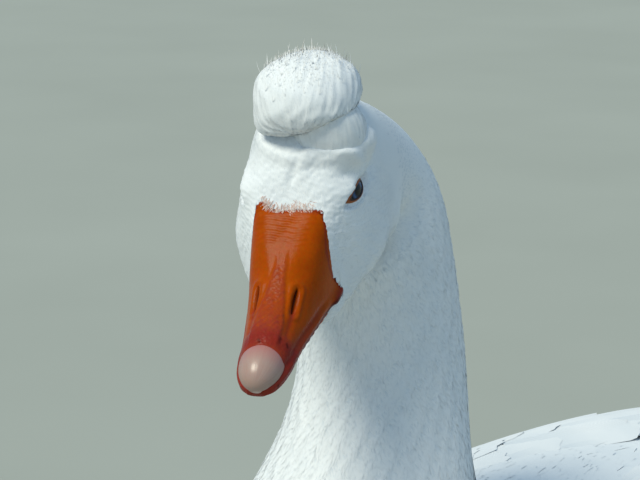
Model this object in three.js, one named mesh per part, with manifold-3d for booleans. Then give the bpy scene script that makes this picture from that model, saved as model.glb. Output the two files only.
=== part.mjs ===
// A tufted white domestic goose, standing at rest with its neck drawn in and its head turned to its left.
// Millimetres, +Z up. The bird faces -Y and its left side is +X. Every flesh solid carries its plumage, so the
// outer faces are where the feather tips reach. Nothing moves: it is a still, life-size model.
import * as THREE from 'three';
import { mergeVertices } from 'three/addons/utils/BufferGeometryUtils.js';
import Module from 'manifold-3d';

const wasm = await Module();
wasm.setup();

// ---- Driving dimensions -------------------------------------------------------------------------------------

const gap = 0.3; // between pieces that meet
const rad = THREE.MathUtils.degToRad;

// The head is laid out from a point midway between the eyes: f runs forward along the cutting edge of the bill,
// u up and l to the bird's left.
const head = {
  centre: { y: -150, z: 467 },
  pitch: rad(22), // the bill slopes down by this much
  turn: rad(25.5), // and the head looks this far to the left
  turnAxisY: -125, // the turn is made about an upright line through the top of the neck
};

const bill = {
  root: { f: 22, u: 5 }, // where the culmen leaves the forehead
  length: 61,
  edgeForward: 2, // the cutting edge starts this far in front of the culmen's root
  rootLean: 0.047, // slope of the root's face: forward for each unit down
  rootHeight: 32, // culmen to cutting edge
  rootHalfWidth: 17,
  tipDrop: 2, // the cutting edge falls this much to the tip
  lowerLength: 54,
  lowerDepth: 8.5,
};

const nail = { f: 73, u: -24.8, halfLength: 11.8, halfWidth: 8, halfHeight: 7.8 };
const eye = { f: 6, l: 13.2, u: 4, radius: 7.4, dishRadius: 13, dishDepth: 3.2 };
const tuft = { f: -9, l: 2.5, u: 34, halfLength: 20, halfWidth: 20.3, halfHeight: 15 };

const leg = {
  ankle: { x: 50, y: 24, z: 13 },
  hock: { x: 51, y: 50, z: 92 },
  hip: { x: 60, y: 53, z: 145 },
  splay: rad(8), // toes point this far outward
};

// Toes of the left foot: heading from straight ahead, positive outward, and length from the ankle.
const toes = [
  { name: 'inner', heading: rad(-24), length: 64, radius: 4.6 },
  { name: 'middle', heading: rad(3), length: 82, radius: 5.2 },
  { name: 'outer', heading: rad(29), length: 74, radius: 4.8 },
];
const webThickness = 2.4;
const claw = { length: 9, radius: 2.6 };

const sides = 24; // faces round the body's sections

// ---- Materials ----------------------------------------------------------------------------------------------

const material = (color, roughness) => new THREE.MeshStandardMaterial({ color, roughness, metalness: 0 });
const plumage = material('#f1f3f4', 0.85);
const billHorn = material('#d8701f', 0.45);
const nailHorn = material('#dcb3a4', 0.4);
const legSkin = material('#e08a3c', 0.6);
const clawHorn = material('#cdb59a', 0.5);
const eyeGlass = material('#6f93b8', 0.1);

// ---- Solids from rings --------------------------------------------------------------------------------------

// Rings run clockwise for someone whom the loft advances towards. A fan closes a round end; a strip closes a
// crescent, whose first half is its outer line and second half its inner line, backwards.
function loft(rings, { stripEnds = false } = {}) {
  const count = rings[0].length;
  const points = rings.flat();
  const index = [];
  for (let i = 0; i < rings.length - 1; i++) {
    for (let j = 0; j < count; j++) {
      const a = i * count + j;
      const b = i * count + ((j + 1) % count);
      index.push(a, a + count, b + count, a, b + count, b);
    }
  }
  const lastRing = (rings.length - 1) * count;
  if (stripEnds) {
    for (let j = 0; j < count / 2 - 1; j++) {
      const k = count - 1 - j;
      index.push(j, j + 1, k - 1, j, k - 1, k);
      const [a, b, c, d] = [j, j + 1, k - 1, k].map((n) => n + lastRing);
      index.push(a, c, b, a, d, c);
    }
  } else {
    for (const [ring, start, forward] of [[rings[0], 0, false], [rings.at(-1), lastRing, true]]) {
      const centre = ring.reduce((sum, p) => sum.add(p), new THREE.Vector3()).divideScalar(count);
      const hub = points.push(centre) - 1;
      for (let j = 0; j < count; j++) {
        const a = start + j;
        const b = start + ((j + 1) % count);
        index.push(hub, forward ? b : a, forward ? a : b);
      }
    }
  }
  return new THREE.BufferGeometry().setFromPoints(points).setIndex(index);
}

// A closed geometry as a solid that can be joined and cut, and back again.
function solid(geometry) {
  const bare = new THREE.BufferGeometry().setAttribute('position', geometry.getAttribute('position'));
  bare.setIndex(geometry.index);
  const merged = mergeVertices(bare, 1e-4);
  return new wasm.Manifold(new wasm.Mesh({
    numProp: 3,
    vertProperties: new Float32Array(merged.attributes.position.array),
    triVerts: new Uint32Array(merged.index.array),
  }));
}

function geometryOf(manifold) {
  const mesh = manifold.getMesh();
  const geometry = new THREE.BufferGeometry();
  geometry.setAttribute('position', new THREE.BufferAttribute(new Float32Array(mesh.vertProperties), 3));
  geometry.setIndex(new THREE.BufferAttribute(new Uint32Array(mesh.triVerts), 1));
  geometry.computeVertexNormals();
  return geometry;
}

function mirrored(geometry) {
  const copy = geometry.clone().scale(-1, 1, 1);
  const index = copy.index.array;
  for (let i = 0; i < index.length; i += 3) [index[i + 1], index[i + 2]] = [index[i + 2], index[i + 1]];
  return copy;
}

// A point at angle a (0 at the top, positive to the left) on a section that is `square` 2 for an ellipse.
const bulge = (value, square) => Math.sign(value) * Math.abs(value) ** (2 / square);

function section({ centre, lateral, up, halfWidth, above, below, square = 2, count = sides }) {
  return Array.from({ length: count }, (_, j) => {
    const a = (2 * Math.PI * j) / count;
    const side = halfWidth * bulge(Math.sin(a), square);
    const rise = (Math.cos(a) > 0 ? above : below) * bulge(Math.cos(a), square);
    return centre.clone().addScaledVector(lateral, side).addScaledVector(up, rise);
  });
}

// A round limb along a smooth path. Each station is [x, y, z, half width, half depth].
function limb(stations, { steps, count = 12, up = new THREE.Vector3(0, -1, 0) }) {
  const path = new THREE.CatmullRomCurve3(stations.map((s) => new THREE.Vector3(s[0], s[1], s[2])), false,
    'catmullrom');
  const size = new THREE.CatmullRomCurve3(stations.map((s) => new THREE.Vector3(s[3], s[4], 0)), false,
    'catmullrom');
  return loft(Array.from({ length: steps + 1 }, (_, i) => {
    const t = i / steps;
    const forward = path.getTangent(t);
    const across = new THREE.Vector3().crossVectors(up, forward).normalize();
    const over = new THREE.Vector3().crossVectors(forward, across);
    const { x: halfWidth, y: halfDepth } = size.getPoint(t);
    return section({
      centre: path.getPoint(t), lateral: across, up: over, halfWidth, above: halfDepth, below: halfDepth, count,
    });
  }));
}

// ---- The body's form ----------------------------------------------------------------------------------------

// A head-frame place in the bird's upright plane, as [y, z], before the head is turned.
const atHead = (f, u) => [
  head.centre.y - f * Math.cos(head.pitch) - u * Math.sin(head.pitch),
  head.centre.z - f * Math.sin(head.pitch) + u * Math.cos(head.pitch),
];

// Turns a point about the upright line at the top of the neck.
function turned(point, angle) {
  const y = point.y - head.turnAxisY;
  return new THREE.Vector3(
    point.x * Math.cos(angle) - y * Math.sin(angle),
    head.turnAxisY + point.x * Math.sin(angle) + y * Math.cos(angle),
    point.z,
  );
}

const headPoint = (f, l, u) => {
  const [y, z] = atHead(f, u);
  return turned(new THREE.Vector3(l, y, z), head.turn);
};

// From the rump to the bill's root: the back line and belly line as [y, z], the half width, the share of the way
// from belly to back where the section is widest, and how square the section is. `turn` is in degrees.
const bodyStations = [
  { at: 'rump end', back: [222, 283], belly: [216, 241], wide: 40, widest: 0.5, square: 2.1, turn: 0 },
  { at: 'rump', back: [180, 293], belly: [172, 204], wide: 62, widest: 0.5, square: 2.1, turn: 0 },
  { at: 'vent', back: [125, 305], belly: [118, 151], wide: 85, widest: 0.48, square: 2.1, turn: 0 },
  { at: 'belly', back: [62, 313], belly: [56, 114], wide: 98, widest: 0.48, square: 2.15, turn: 0 },
  { at: 'mid back', back: [0, 316], belly: [-8, 110], wide: 102, widest: 0.5, square: 2.15, turn: 0 },
  { at: 'shoulder', back: [-44, 318], belly: [-72, 122], wide: 100, widest: 0.5, square: 2.1, turn: 0 },
  { at: 'keel', back: [-54, 322], belly: [-128, 146], wide: 93, widest: 0.5, square: 2.05, turn: 0 },
  { at: 'breast', back: [-58, 330], belly: [-170, 182], wide: 82, widest: 0.5, square: 2, turn: 0 },
  { at: 'crop', back: [-60, 341], belly: [-187, 229], wide: 68, widest: 0.52, square: 2, turn: 0 },
  { at: 'neck root', back: [-60, 355], belly: [-179, 274], wide: 55, widest: 0.54, square: 2, turn: 0 },
  { at: 'low neck', back: [-57, 371], belly: [-157, 316], wide: 43.5, widest: 0.54, square: 2, turn: 0 },
  { at: 'mid neck', back: [-53, 392], belly: [-135, 354], wide: 35.5, widest: 0.52, square: 2, turn: 1 },
  { at: 'neck', back: [-53, 414], belly: [-121, 384], wide: 32, widest: 0.5, square: 2, turn: 4 },
  { at: 'upper neck', back: [-55, 438], belly: [-117, 409], wide: 31, widest: 0.5, square: 2, turn: 8 },
  { at: 'throat', back: [-61, 462], belly: [-117, 424], wide: 31, widest: 0.5, square: 2.1, turn: 13 },
  { at: 'nape', back: [-75, 483], belly: [-117, 431], wide: 30.5, widest: 0.47, square: 2.25, turn: 18 },
  { at: 'occiput', back: [-99.5, 494.5], belly: [-117.5, 434], wide: 29.5, widest: 0.43, square: 2.35, turn: 21.5 },
  { at: 'jaw', back: atHead(-27, 26.8), belly: atHead(-16, -38.5), wide: 28, widest: 0.36, square: 2.35, turn: 25 },
  { at: 'cheek', back: atHead(-12, 27), belly: atHead(-7, -39.5), wide: 27.3, widest: 0.31, square: 2.3, turn: 25.5 },
  { at: 'brow', back: atHead(1, 25), belly: atHead(4, -39.5), wide: 26.3, widest: 0.29, square: 2.3, turn: 25.5 },
  { at: 'forehead', back: atHead(12, 17), belly: atHead(14, -38), wide: 23.5, widest: 0.3, square: 2.4, turn: 25.5 },
  { at: 'bill root', back: atHead(22, 5.5), belly: atHead(24, -37), wide: 18.6, widest: 0.36, square: 2.9, turn: 25.5 },
];
const stationOf = (name) => bodyStations.findIndex((s) => s.at === name);

const bodyCurves = {
  back: new THREE.CatmullRomCurve3(bodyStations.map((s) => new THREE.Vector3(0, ...s.back)), false, 'catmullrom'),
  belly: new THREE.CatmullRomCurve3(bodyStations.map((s) => new THREE.Vector3(0, ...s.belly)), false,
    'catmullrom'),
  shape: new THREE.CatmullRomCurve3(bodyStations.map((s) => new THREE.Vector3(s.wide, s.widest, s.square)), false,
    'catmullrom'),
  turn: new THREE.CatmullRomCurve3(bodyStations.map((s) => new THREE.Vector3(rad(s.turn), 0, 0)), false,
    'catmullrom'),
};

// The body's section at a station number, which need not be whole, grown outward by `grow`.
function bodyRing(station, grow = 0) {
  const t = station / (bodyStations.length - 1);
  const back = bodyCurves.back.getPoint(t);
  const belly = bodyCurves.belly.getPoint(t);
  const { x: wide, y: widest, z: square } = bodyCurves.shape.getPoint(t);
  const centre = new THREE.Vector3().lerpVectors(belly, back, widest);
  const ring = section({
    centre,
    lateral: new THREE.Vector3(1, 0, 0),
    up: back.clone().sub(belly).normalize(),
    halfWidth: wide + grow,
    above: back.distanceTo(centre) + grow,
    below: belly.distanceTo(centre) + grow,
    square,
  });
  return ring.map((p) => turned(p, bodyCurves.turn.getPoint(t).x));
}

// The length of body between two stations, as one geometry.
function bodyLength(from, to, steps, grow = 0) {
  return loft(Array.from({ length: steps + 1 }, (_, i) => bodyRing(from + ((to - from) * i) / steps, grow)));
}

const cut = {
  neckRoot: stationOf('low neck'),
  midNeck: stationOf('neck'),
  head: stationOf('nape'),
  bill: stationOf('bill root'),
};
const slit = 0.03; // of a station: about 0.3 mm or more between two lengths of the body

// ---- Pieces of flesh ----------------------------------------------------------------------------------------

const trunkGrown = solid(bodyLength(0, cut.neckRoot, 20, gap));

// A folded wing is a crescent that lies on its own bed, a little outside the trunk. Stations run from the tips
// of the primaries to the shoulder: the bed's centre height, half width and height, the angles from the top of
// the crescent's upper and lower edge in degrees, and its greatest thickness.
const wingStations = [
  { y: 268, z: 277, wide: 16, high: 22, from: 8, to: 62, thick: 3 },
  { y: 236, z: 268, wide: 34, high: 33, from: 9, to: 72, thick: 6 },
  { y: 196, z: 249, wide: 53, high: 51, from: 12, to: 84, thick: 8 },
  { y: 140, z: 232, wide: 80, high: 76, from: 14, to: 91, thick: 11 },
  { y: 80, z: 219, wide: 97, high: 95, from: 18, to: 96, thick: 13 },
  { y: 10, z: 213, wide: 105, high: 104, from: 25, to: 101, thick: 14 },
  { y: -50, z: 214, wide: 104.5, high: 101, from: 34, to: 104, thick: 14 },
  { y: -100, z: 222, wide: 97, high: 92, from: 46, to: 103, thick: 12 },
  { y: -138, z: 233, wide: 86, high: 78, from: 60, to: 98, thick: 7 },
];
const wingEdge = 0.9; // thickness along the wing's edges

function wingRing(t) {
  const number = t * (wingStations.length - 1);
  const whole = Math.min(Math.floor(number), wingStations.length - 2);
  const blend = (key) => {
    const near = (n) => wingStations[THREE.MathUtils.clamp(n, 0, wingStations.length - 1)][key];
    const [a, b, c, d] = [near(whole - 1), near(whole), near(whole + 1), near(whole + 2)];
    const s = number - whole;
    return b + 0.5 * s * (c - a + s * (2 * a - 5 * b + 4 * c - d + s * (3 * (b - c) + d - a)));
  };
  const across = 6;
  const line = (side) => Array.from({ length: across + 1 }, (_, j) => {
    const share = j / across;
    const angle = rad(THREE.MathUtils.lerp(blend('from'), blend('to'), share));
    const thick = wingEdge + (blend('thick') - wingEdge) * Math.sin(Math.PI * share) ** 0.6;
    const out = side * thick;
    return new THREE.Vector3(
      (blend('wide') + out) * Math.sin(angle),
      blend('y'),
      blend('z') + (blend('high') + out) * Math.cos(angle),
    );
  });
  return [...line(1), ...line(0).reverse()];
}

function wing() {
  const steps = 14;
  const rings = Array.from({ length: steps + 1 }, (_, i) => wingRing(i / steps));
  const made = solid(loft(rings, { stripEnds: true }));
  return geometryOf(made.subtract(trunkGrown).subtract(solid(tail(gap))));
}

// The tail is a short flat fan of stiff feathers, a little raised.
const tailStations = [
  { y: 322, z: 290, wide: 30, thick: 0.8 },
  { y: 314, z: 289, wide: 43, thick: 1.4 },
  { y: 296, z: 286, wide: 51, thick: 2.6 },
  { y: 268, z: 280, wide: 50, thick: 6 },
  { y: 240, z: 270, wide: 44, thick: 13 },
  { y: 222.6, z: 262, wide: 39, thick: 19 },
];

function tail(grow = 0) {
  const up = new THREE.Vector3(0, 0, 1);
  const lateral = new THREE.Vector3(1, 0, 0);
  return loft(tailStations.map((s) => section({
    centre: new THREE.Vector3(0, s.y, s.z),
    lateral,
    up,
    halfWidth: s.wide + grow,
    above: s.thick + grow,
    below: s.thick + grow,
  })));
}

// An egg-shaped ball in the head's frame, standing with the head's tilt and turn.
function headBall(f, l, u, halfLength, halfWidth, halfHeight, across = 24) {
  const ball = new THREE.SphereGeometry(1, across, across / 2);
  ball.scale(halfWidth, halfLength, halfHeight);
  ball.rotateX(head.pitch);
  ball.rotateZ(head.turn);
  return ball.translate(...headPoint(f, l, u));
}

const eyeBall = (side, radius) => headBall(eye.f, side * eye.l, eye.u, radius, radius, radius, 12);

function headSolid() {
  let made = solid(bodyLength(cut.head + slit, cut.bill, 15));
  for (const side of [1, -1]) {
    const dishPlace = eye.l + eye.radius - eye.dishDepth + eye.dishRadius;
    const dish = headBall(eye.f, side * dishPlace, eye.u, eye.dishRadius, eye.dishRadius, eye.dishRadius, 16);
    made = made.subtract(solid(dish)).subtract(solid(eyeBall(side, eye.radius + gap)));
  }
  return made;
}

const headGrown = () => solid(bodyLength(cut.head - 1, cut.bill, 18, gap));

const tuftSolid = () => solid(
  headBall(tuft.f, tuft.l, tuft.u, tuft.halfLength, tuft.halfWidth, tuft.halfHeight, 18),
).subtract(headGrown());

// ---- Bill ---------------------------------------------------------------------------------------------------

// Along the bill from its root to its tip: height over the cutting edge and half width, as shares of those at
// the root, and how square the section is.
const billStations = [
  { along: 0, high: 1, wide: 1, square: 4.4 },
  { along: 0.14, high: 0.84, wide: 0.9, square: 3.4 },
  { along: 0.3, high: 0.65, wide: 0.78, square: 2.8 },
  { along: 0.45, high: 0.52, wide: 0.69, square: 2.5 },
  { along: 0.6, high: 0.43, wide: 0.63, square: 2.3 },
  { along: 0.76, high: 0.36, wide: 0.58, square: 2.3 },
  { along: 0.88, high: 0.29, wide: 0.5, square: 2.3 },
  { along: 0.96, high: 0.18, wide: 0.37, square: 2.2 },
  { along: 1, high: 0.08, wide: 0.2, square: 2 },
];

// A section across the bill. At its root it leans back with the feathered face of the head.
function billSection(f, u, along, size, count) {
  const centre = headPoint(f, 0, u);
  const lean = bill.rootLean * (1 - along);
  return section({
    centre,
    lateral: headPoint(f, 1, u).sub(centre),
    up: headPoint(f - lean, 0, u + 1).sub(centre).normalize(),
    ...size,
    count,
  });
}

const edgeHeight = (along) => bill.root.u - bill.rootHeight - bill.tipDrop * along ** 2;

function upperBill() {
  const rings = billStations.map(({ along, high, wide, square }) => {
    const f = bill.root.f + bill.edgeForward + gap + (bill.length - bill.edgeForward) * along;
    const size = { halfWidth: bill.rootHalfWidth * wide, above: bill.rootHeight * high, below: 0.8, square };
    return billSection(f, edgeHeight(along), along, size, 20);
  });
  return solid(loft(rings));
}

function lowerBill() {
  const rings = billStations.slice(0, -1).map(({ along, wide }) => {
    const f = bill.root.f + bill.edgeForward + gap + (bill.lowerLength - bill.edgeForward) * along;
    const below = bill.lowerDepth * (1 - 0.55 * along);
    const size = { halfWidth: bill.rootHalfWidth * wide * 0.88, above: 0.3, below, square: 2.2 };
    return billSection(f, edgeHeight(along) - 1.2 - 2 * gap, along, size, 16);
  });
  return solid(loft(rings));
}

const nailBall = (grow = 0) => solid(
  headBall(nail.f, 0, nail.u, nail.halfLength + grow, nail.halfWidth + grow, nail.halfHeight + grow, 16),
);

// The nail caps the front of the bill, so it keeps only what lies over the bill's own tip.
function nailSolid() {
  const tip = bill.root.f + bill.length;
  const behind = headPoint(tip - 17, 0, nail.u);
  const ahead = headPoint(tip - 16, 0, nail.u).sub(behind);
  const under = headPoint(tip, 0, edgeHeight(1) - 1.5);
  const over = headPoint(tip, 0, edgeHeight(1)).sub(under).normalize();
  return nailBall()
    .trimByPlane(ahead.toArray(), ahead.dot(behind))
    .trimByPlane(over.toArray(), over.dot(under));
}

// ---- Legs ---------------------------------------------------------------------------------------------------

function thighLimb(grow) {
  const { hip, hock } = leg;
  return solid(limb([
    [hip.x, hip.y + 4, hip.z + 16, 26 + grow, 36 + grow],
    [hip.x, hip.y + 2, hip.z - 14, 23 + grow, 32 + grow],
    [hock.x + 2, hock.y + 2, hock.z + 22, 16 + grow, 20 + grow],
    [hock.x, hock.y, hock.z + 5 - grow, 9.5 + grow, 11 + grow],
  ], { steps: 6, count: 14 }));
}

const thigh = () => geometryOf(thighLimb(0).subtract(trunkGrown));

function shank() {
  const { hock, ankle } = leg;
  const mid = (share) => ['x', 'y', 'z'].map((k) => THREE.MathUtils.lerp(hock[k], ankle[k], share));
  const made = limb([
    [hock.x, hock.y, hock.z + 5, 8.5, 9.5],
    [...mid(0.06), 9.2, 11],
    [...mid(0.22), 6.6, 8.4],
    [...mid(0.55), 6, 7.6],
    [...mid(0.85), 7, 8.2],
    [ankle.x, ankle.y, ankle.z + 7, 7.8, 8.6],
  ], { steps: 8, count: 10 });
  return geometryOf(solid(made).subtract(thighLimb(gap)).trimByPlane([0, 0, 1], ankle.z + 7.5 + gap));
}

const toeDirection = (toe) => new THREE.Vector3(
  Math.sin(toe.heading + leg.splay), -Math.cos(toe.heading + leg.splay), 0,
);

function toeGeometry(toe) {
  const direction = toeDirection(toe);
  const along = (share, z) => [
    leg.ankle.x + direction.x * toe.length * share,
    leg.ankle.y + direction.y * toe.length * share,
    z,
  ];
  const { radius: r } = toe;
  return limb([
    [...along(0, r + 1.2), r * 1.25, r * 1.3],
    [...along(0.3, r + 0.2), r, r],
    [...along(0.5, r - 0.2), r * 1.08, r * 1.05],
    [...along(0.78, r * 0.82), r * 0.84, r * 0.86],
    [...along(0.97, r * 0.6), r * 0.62, r * 0.66],
  ], { steps: 5, count: 7, up: new THREE.Vector3(0, 0, 1) });
}

// The webs are one flat plate from the ankle to near the toe tips, hollowed between them.
function web() {
  const tips = toes.map((toe) => {
    const d = toeDirection(toe).multiplyScalar(toe.length * 0.93);
    return new THREE.Vector2(leg.ankle.x + d.x, leg.ankle.y + d.y);
  });
  const root = new THREE.Vector2(leg.ankle.x, leg.ankle.y);
  const hollow = (a, b) => a.clone().lerp(b, 0.5).lerp(root, 0.17);
  const outline = new THREE.Shape();
  outline.moveTo(root.x, root.y + 3);
  outline.lineTo(tips[0].x, tips[0].y);
  for (const [a, b] of [[tips[0], tips[1]], [tips[1], tips[2]]]) {
    const dip = hollow(a, b);
    outline.quadraticCurveTo(dip.x, dip.y, b.x, b.y);
  }
  outline.lineTo(root.x, root.y + 3);
  return new THREE.ExtrudeGeometry(outline, { depth: webThickness, bevelEnabled: false, curveSegments: 6 });
}

function foot() {
  const { ankle } = leg;
  const pad = limb([
    [ankle.x, ankle.y + 12, 5, 4, 4],
    [ankle.x, ankle.y + 4, 6.5, 7.5, 6.5],
    [ankle.x, ankle.y - 8, 6.5, 8.5, 6],
    [ankle.x, ankle.y - 20, 5, 7, 4.5],
  ], { steps: 4, count: 8, up: new THREE.Vector3(0, 0, 1) });
  const stub = limb([
    [ankle.x, ankle.y - 2, 5, 7.4, 8.2],
    [ankle.x, ankle.y, ankle.z + 1, 8, 8.8],
    [ankle.x, ankle.y, ankle.z + 7.5, 7.8, 8.6],
  ], { steps: 3, count: 12 });
  const hallux = limb([
    [ankle.x - 3, ankle.y + 3, 12, 4, 4],
    [ankle.x - 7, ankle.y + 13, 9, 3.2, 3.2],
    [ankle.x - 9, ankle.y + 21, 5, 1.8, 1.8],
  ], { steps: 3, count: 7, up: new THREE.Vector3(0, 0, 1) });
  let made = [pad, stub, hallux, web()].map(solid).reduce((sum, part) => sum.add(part));
  for (const toe of toes) made = made.add(solid(toeGeometry(toe)));
  made = made.trimByPlane([0, 0, 1], 0).subtract(solid(shankGrown()));
  return geometryOf(made);
}

// Space for the bottom of the shank where it stands on the foot.
function shankGrown() {
  const { x, y, z } = leg.ankle;
  return limb([[x, y, z + 7.5, 14, 14], [x, y, z + 30, 14, 14]], { steps: 1, count: 14 });
}

function clawSolid(toe) {
  const direction = toeDirection(toe);
  const start = toe.length * 0.97 + gap;
  const point = (along, z) => [leg.ankle.x + direction.x * along, leg.ankle.y + direction.y * along, z];
  const made = limb([
    [...point(start, 2.6), claw.radius * 0.85, claw.radius * 0.8],
    [...point(start + claw.length * 0.45, 2.8), claw.radius * 0.8, claw.radius * 0.75],
    [...point(start + claw.length, 1.1), 0.5, 0.5],
  ], { steps: 4, count: 7, up: new THREE.Vector3(0, 0, 1) });
  return solid(made).subtract(solid(toeGeometry(toe)).add(solid(web())));
}

// ---- The bird -----------------------------------------------------------------------------------------------

const goose = new THREE.Group();

function place(name, geometry, finish) {
  const mesh = new THREE.Mesh(geometry, finish);
  mesh.name = name;
  goose.add(mesh);
}

// The same piece on the bird's left and right.
function placePair(name, geometry, finish) {
  place(`${name}_left`, geometry, finish);
  place(`${name}_right`, mirrored(geometry), finish);
}

place('trunk', bodyLength(0, cut.neckRoot, 20), plumage);
place('neck_lower', bodyLength(cut.neckRoot + slit, cut.midNeck, 6), plumage);
place('neck_upper', bodyLength(cut.midNeck + slit, cut.head, 8), plumage);
place('head', geometryOf(headSolid()), plumage);
place('tuft', geometryOf(tuftSolid()), plumage);
place('tail', tail(), plumage);
placePair('wing', wing(), plumage);
placePair('thigh', thigh(), plumage);
place('bill_upper', geometryOf(upperBill().subtract(nailBall(gap))), billHorn);
place('bill_lower', geometryOf(lowerBill().subtract(nailBall(gap))), billHorn);
place('nail', geometryOf(nailSolid()), nailHorn);
place('eye_left', eyeBall(1, eye.radius), eyeGlass);
place('eye_right', eyeBall(-1, eye.radius), eyeGlass);
placePair('shank', shank(), legSkin);
placePair('foot', foot(), legSkin);
for (const toe of toes) placePair(`claw_${toe.name}`, geometryOf(clawSolid(toe)), clawHorn);

// The frame's origin is on the floor, below the middle of the bird's box.
const box = new THREE.Box3().setFromObject(goose);
goose.position.set(-(box.min.x + box.max.x) / 2, -(box.min.y + box.max.y) / 2, -box.min.z);

export default goose;
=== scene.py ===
import math

import bpy
import numpy as np
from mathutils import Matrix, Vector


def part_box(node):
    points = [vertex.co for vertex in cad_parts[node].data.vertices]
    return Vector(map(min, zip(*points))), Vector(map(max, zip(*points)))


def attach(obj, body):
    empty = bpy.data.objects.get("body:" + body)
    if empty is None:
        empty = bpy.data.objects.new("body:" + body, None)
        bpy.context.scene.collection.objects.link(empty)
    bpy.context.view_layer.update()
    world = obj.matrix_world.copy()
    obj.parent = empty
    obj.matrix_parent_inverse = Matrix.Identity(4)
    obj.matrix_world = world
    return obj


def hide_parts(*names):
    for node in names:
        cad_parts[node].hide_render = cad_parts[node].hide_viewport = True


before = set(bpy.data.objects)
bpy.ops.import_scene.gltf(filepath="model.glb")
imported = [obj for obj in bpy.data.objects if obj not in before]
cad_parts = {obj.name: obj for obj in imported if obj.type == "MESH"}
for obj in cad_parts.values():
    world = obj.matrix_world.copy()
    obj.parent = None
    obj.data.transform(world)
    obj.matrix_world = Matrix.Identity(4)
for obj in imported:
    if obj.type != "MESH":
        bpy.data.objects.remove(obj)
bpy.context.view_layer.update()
print("frame loaded")

mm = 0.001
golden = (math.sqrt(5) - 1) / 2

# lengths below are millimetres in the bird's layout; toScene() turns them into the frame's metres

head = {
    "centre": (-150.0, 467.0),  # y and z of the point midway between the eyes' roots
    "pitch": math.radians(22),  # the bill slopes down by this
    "turn": math.radians(25.5),  # and the head looks this far to the left
    "turnAxisY": -125.0,
    "eyeNode": (6.0, 4.0),  # forward and up of the solids' eyeballs
}

eye = {
    "f": 5.0, "u": 4.6,
    "l": 16.2, "deep": 5.2, "long": 7.7, "high": 7.2,  # the ball's centre and half sizes
    "slopeF": 0.2, "slopeU": 0.25,  # the head narrows forward and upward, and the ball lies with its side
    "openLength": 10.6, "openHeight": 4.2,  # between the corners of the lids, and across
    "openSquare": 1.7,  # 2 would make the opening an ellipse, less gives it pointed corners
    "tilt": math.radians(9),  # the rear corner stands higher
    "rim": 0.45,  # how far the lids stand off the ball
    # measures from the middle of the opening, 1 at its edge: where the skin leaves the ball and is free of
    # it, and the hole in it that the lids cover
    "socket": (1.3, 2.1), "hole": (1.35, 1.75), "holeDeep": 3.5,
    "brow": (1.2, 5.0, 2.2, -1.0, 6.0),  # height, place and spread across the opening, and along it
}


def rotated(x, y, angle):
    y = y - head["turnAxisY"]
    return (
        x * np.cos(angle) - y * np.sin(angle),
        x * np.sin(angle) + y * np.cos(angle) + head["turnAxisY"],
    )


def headToBird(f, l, u):
    # head frame (forward along the bill's edge, left, up) to bird millimetres
    cosP, sinP = math.cos(head["pitch"]), math.sin(head["pitch"])
    y = head["centre"][0] - f * cosP - u * sinP
    z = head["centre"][1] - f * sinP + u * cosP
    x, y = rotated(np.asarray(l, float), y, head["turn"])
    return np.stack(np.broadcast_arrays(x, y, z), -1)


def birdToHead(p):
    cosP, sinP = math.cos(head["pitch"]), math.sin(head["pitch"])
    l, y = rotated(p[..., 0], p[..., 1], -head["turn"])
    dy, dz = y - head["centre"][0], p[..., 2] - head["centre"][1]
    return -dy * cosP - dz * sinP, l, -dy * sinP + dz * cosP


eyeBoxes = [np.array(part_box(node)) for node in ("eye_left", "eye_right")]
eyesMiddle = np.mean([b.mean(0) for b in eyeBoxes], 0) / mm
layoutShift = eyesMiddle - headToBird(head["eyeNode"][0], 0.0, head["eyeNode"][1])


def toScene(p):
    return (np.asarray(p) + layoutShift) * mm


def linear(hexColour):
    # an sRGB hex value as linear red, green, blue and alpha
    parts = [int(hexColour[i:i + 2], 16) / 255 for i in (1, 3, 5)]
    return [c / 12.92 if c <= 0.04045 else ((c + 0.055) / 1.055) ** 2.4 for c in parts] + [1.0]


def addNode(material, kind, inputs=None, stops=(), **settings):
    # one node with its settings; an input is a value or another node's socket, and a stop is a place on a
    # ramp, from 0, with its colour
    node = material.node_tree.nodes.new(kind)
    for key, value in settings.items():
        setattr(node, key, value)
    for key, value in (inputs or {}).items():
        if isinstance(value, bpy.types.NodeSocket):
            material.node_tree.links.new(value, node.inputs[key])
        else:
            node.inputs[key].default_value = value
    for place, hexColour in stops:
        if place == 0:
            node.color_ramp.elements.remove(node.color_ramp.elements[1])
        else:
            node.color_ramp.elements.new(place)
        node.color_ramp.elements[-1].color = linear(hexColour)
    return node


def newMaterial(name, **shaderValues):
    material = bpy.data.materials.new(name)
    material.use_nodes = True
    shader = material.node_tree.nodes["Principled BSDF"]
    for key, value in shaderValues.items():
        shader.inputs[key.replace("_", " ")].default_value = value
    return material, shader


def link(material, source, target):
    material.node_tree.links.new(source, target)


def perMetre(size):
    # how many of something this many millimetres across fit in a metre: the scale of a pattern
    return 1 / (size * mm)


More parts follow.
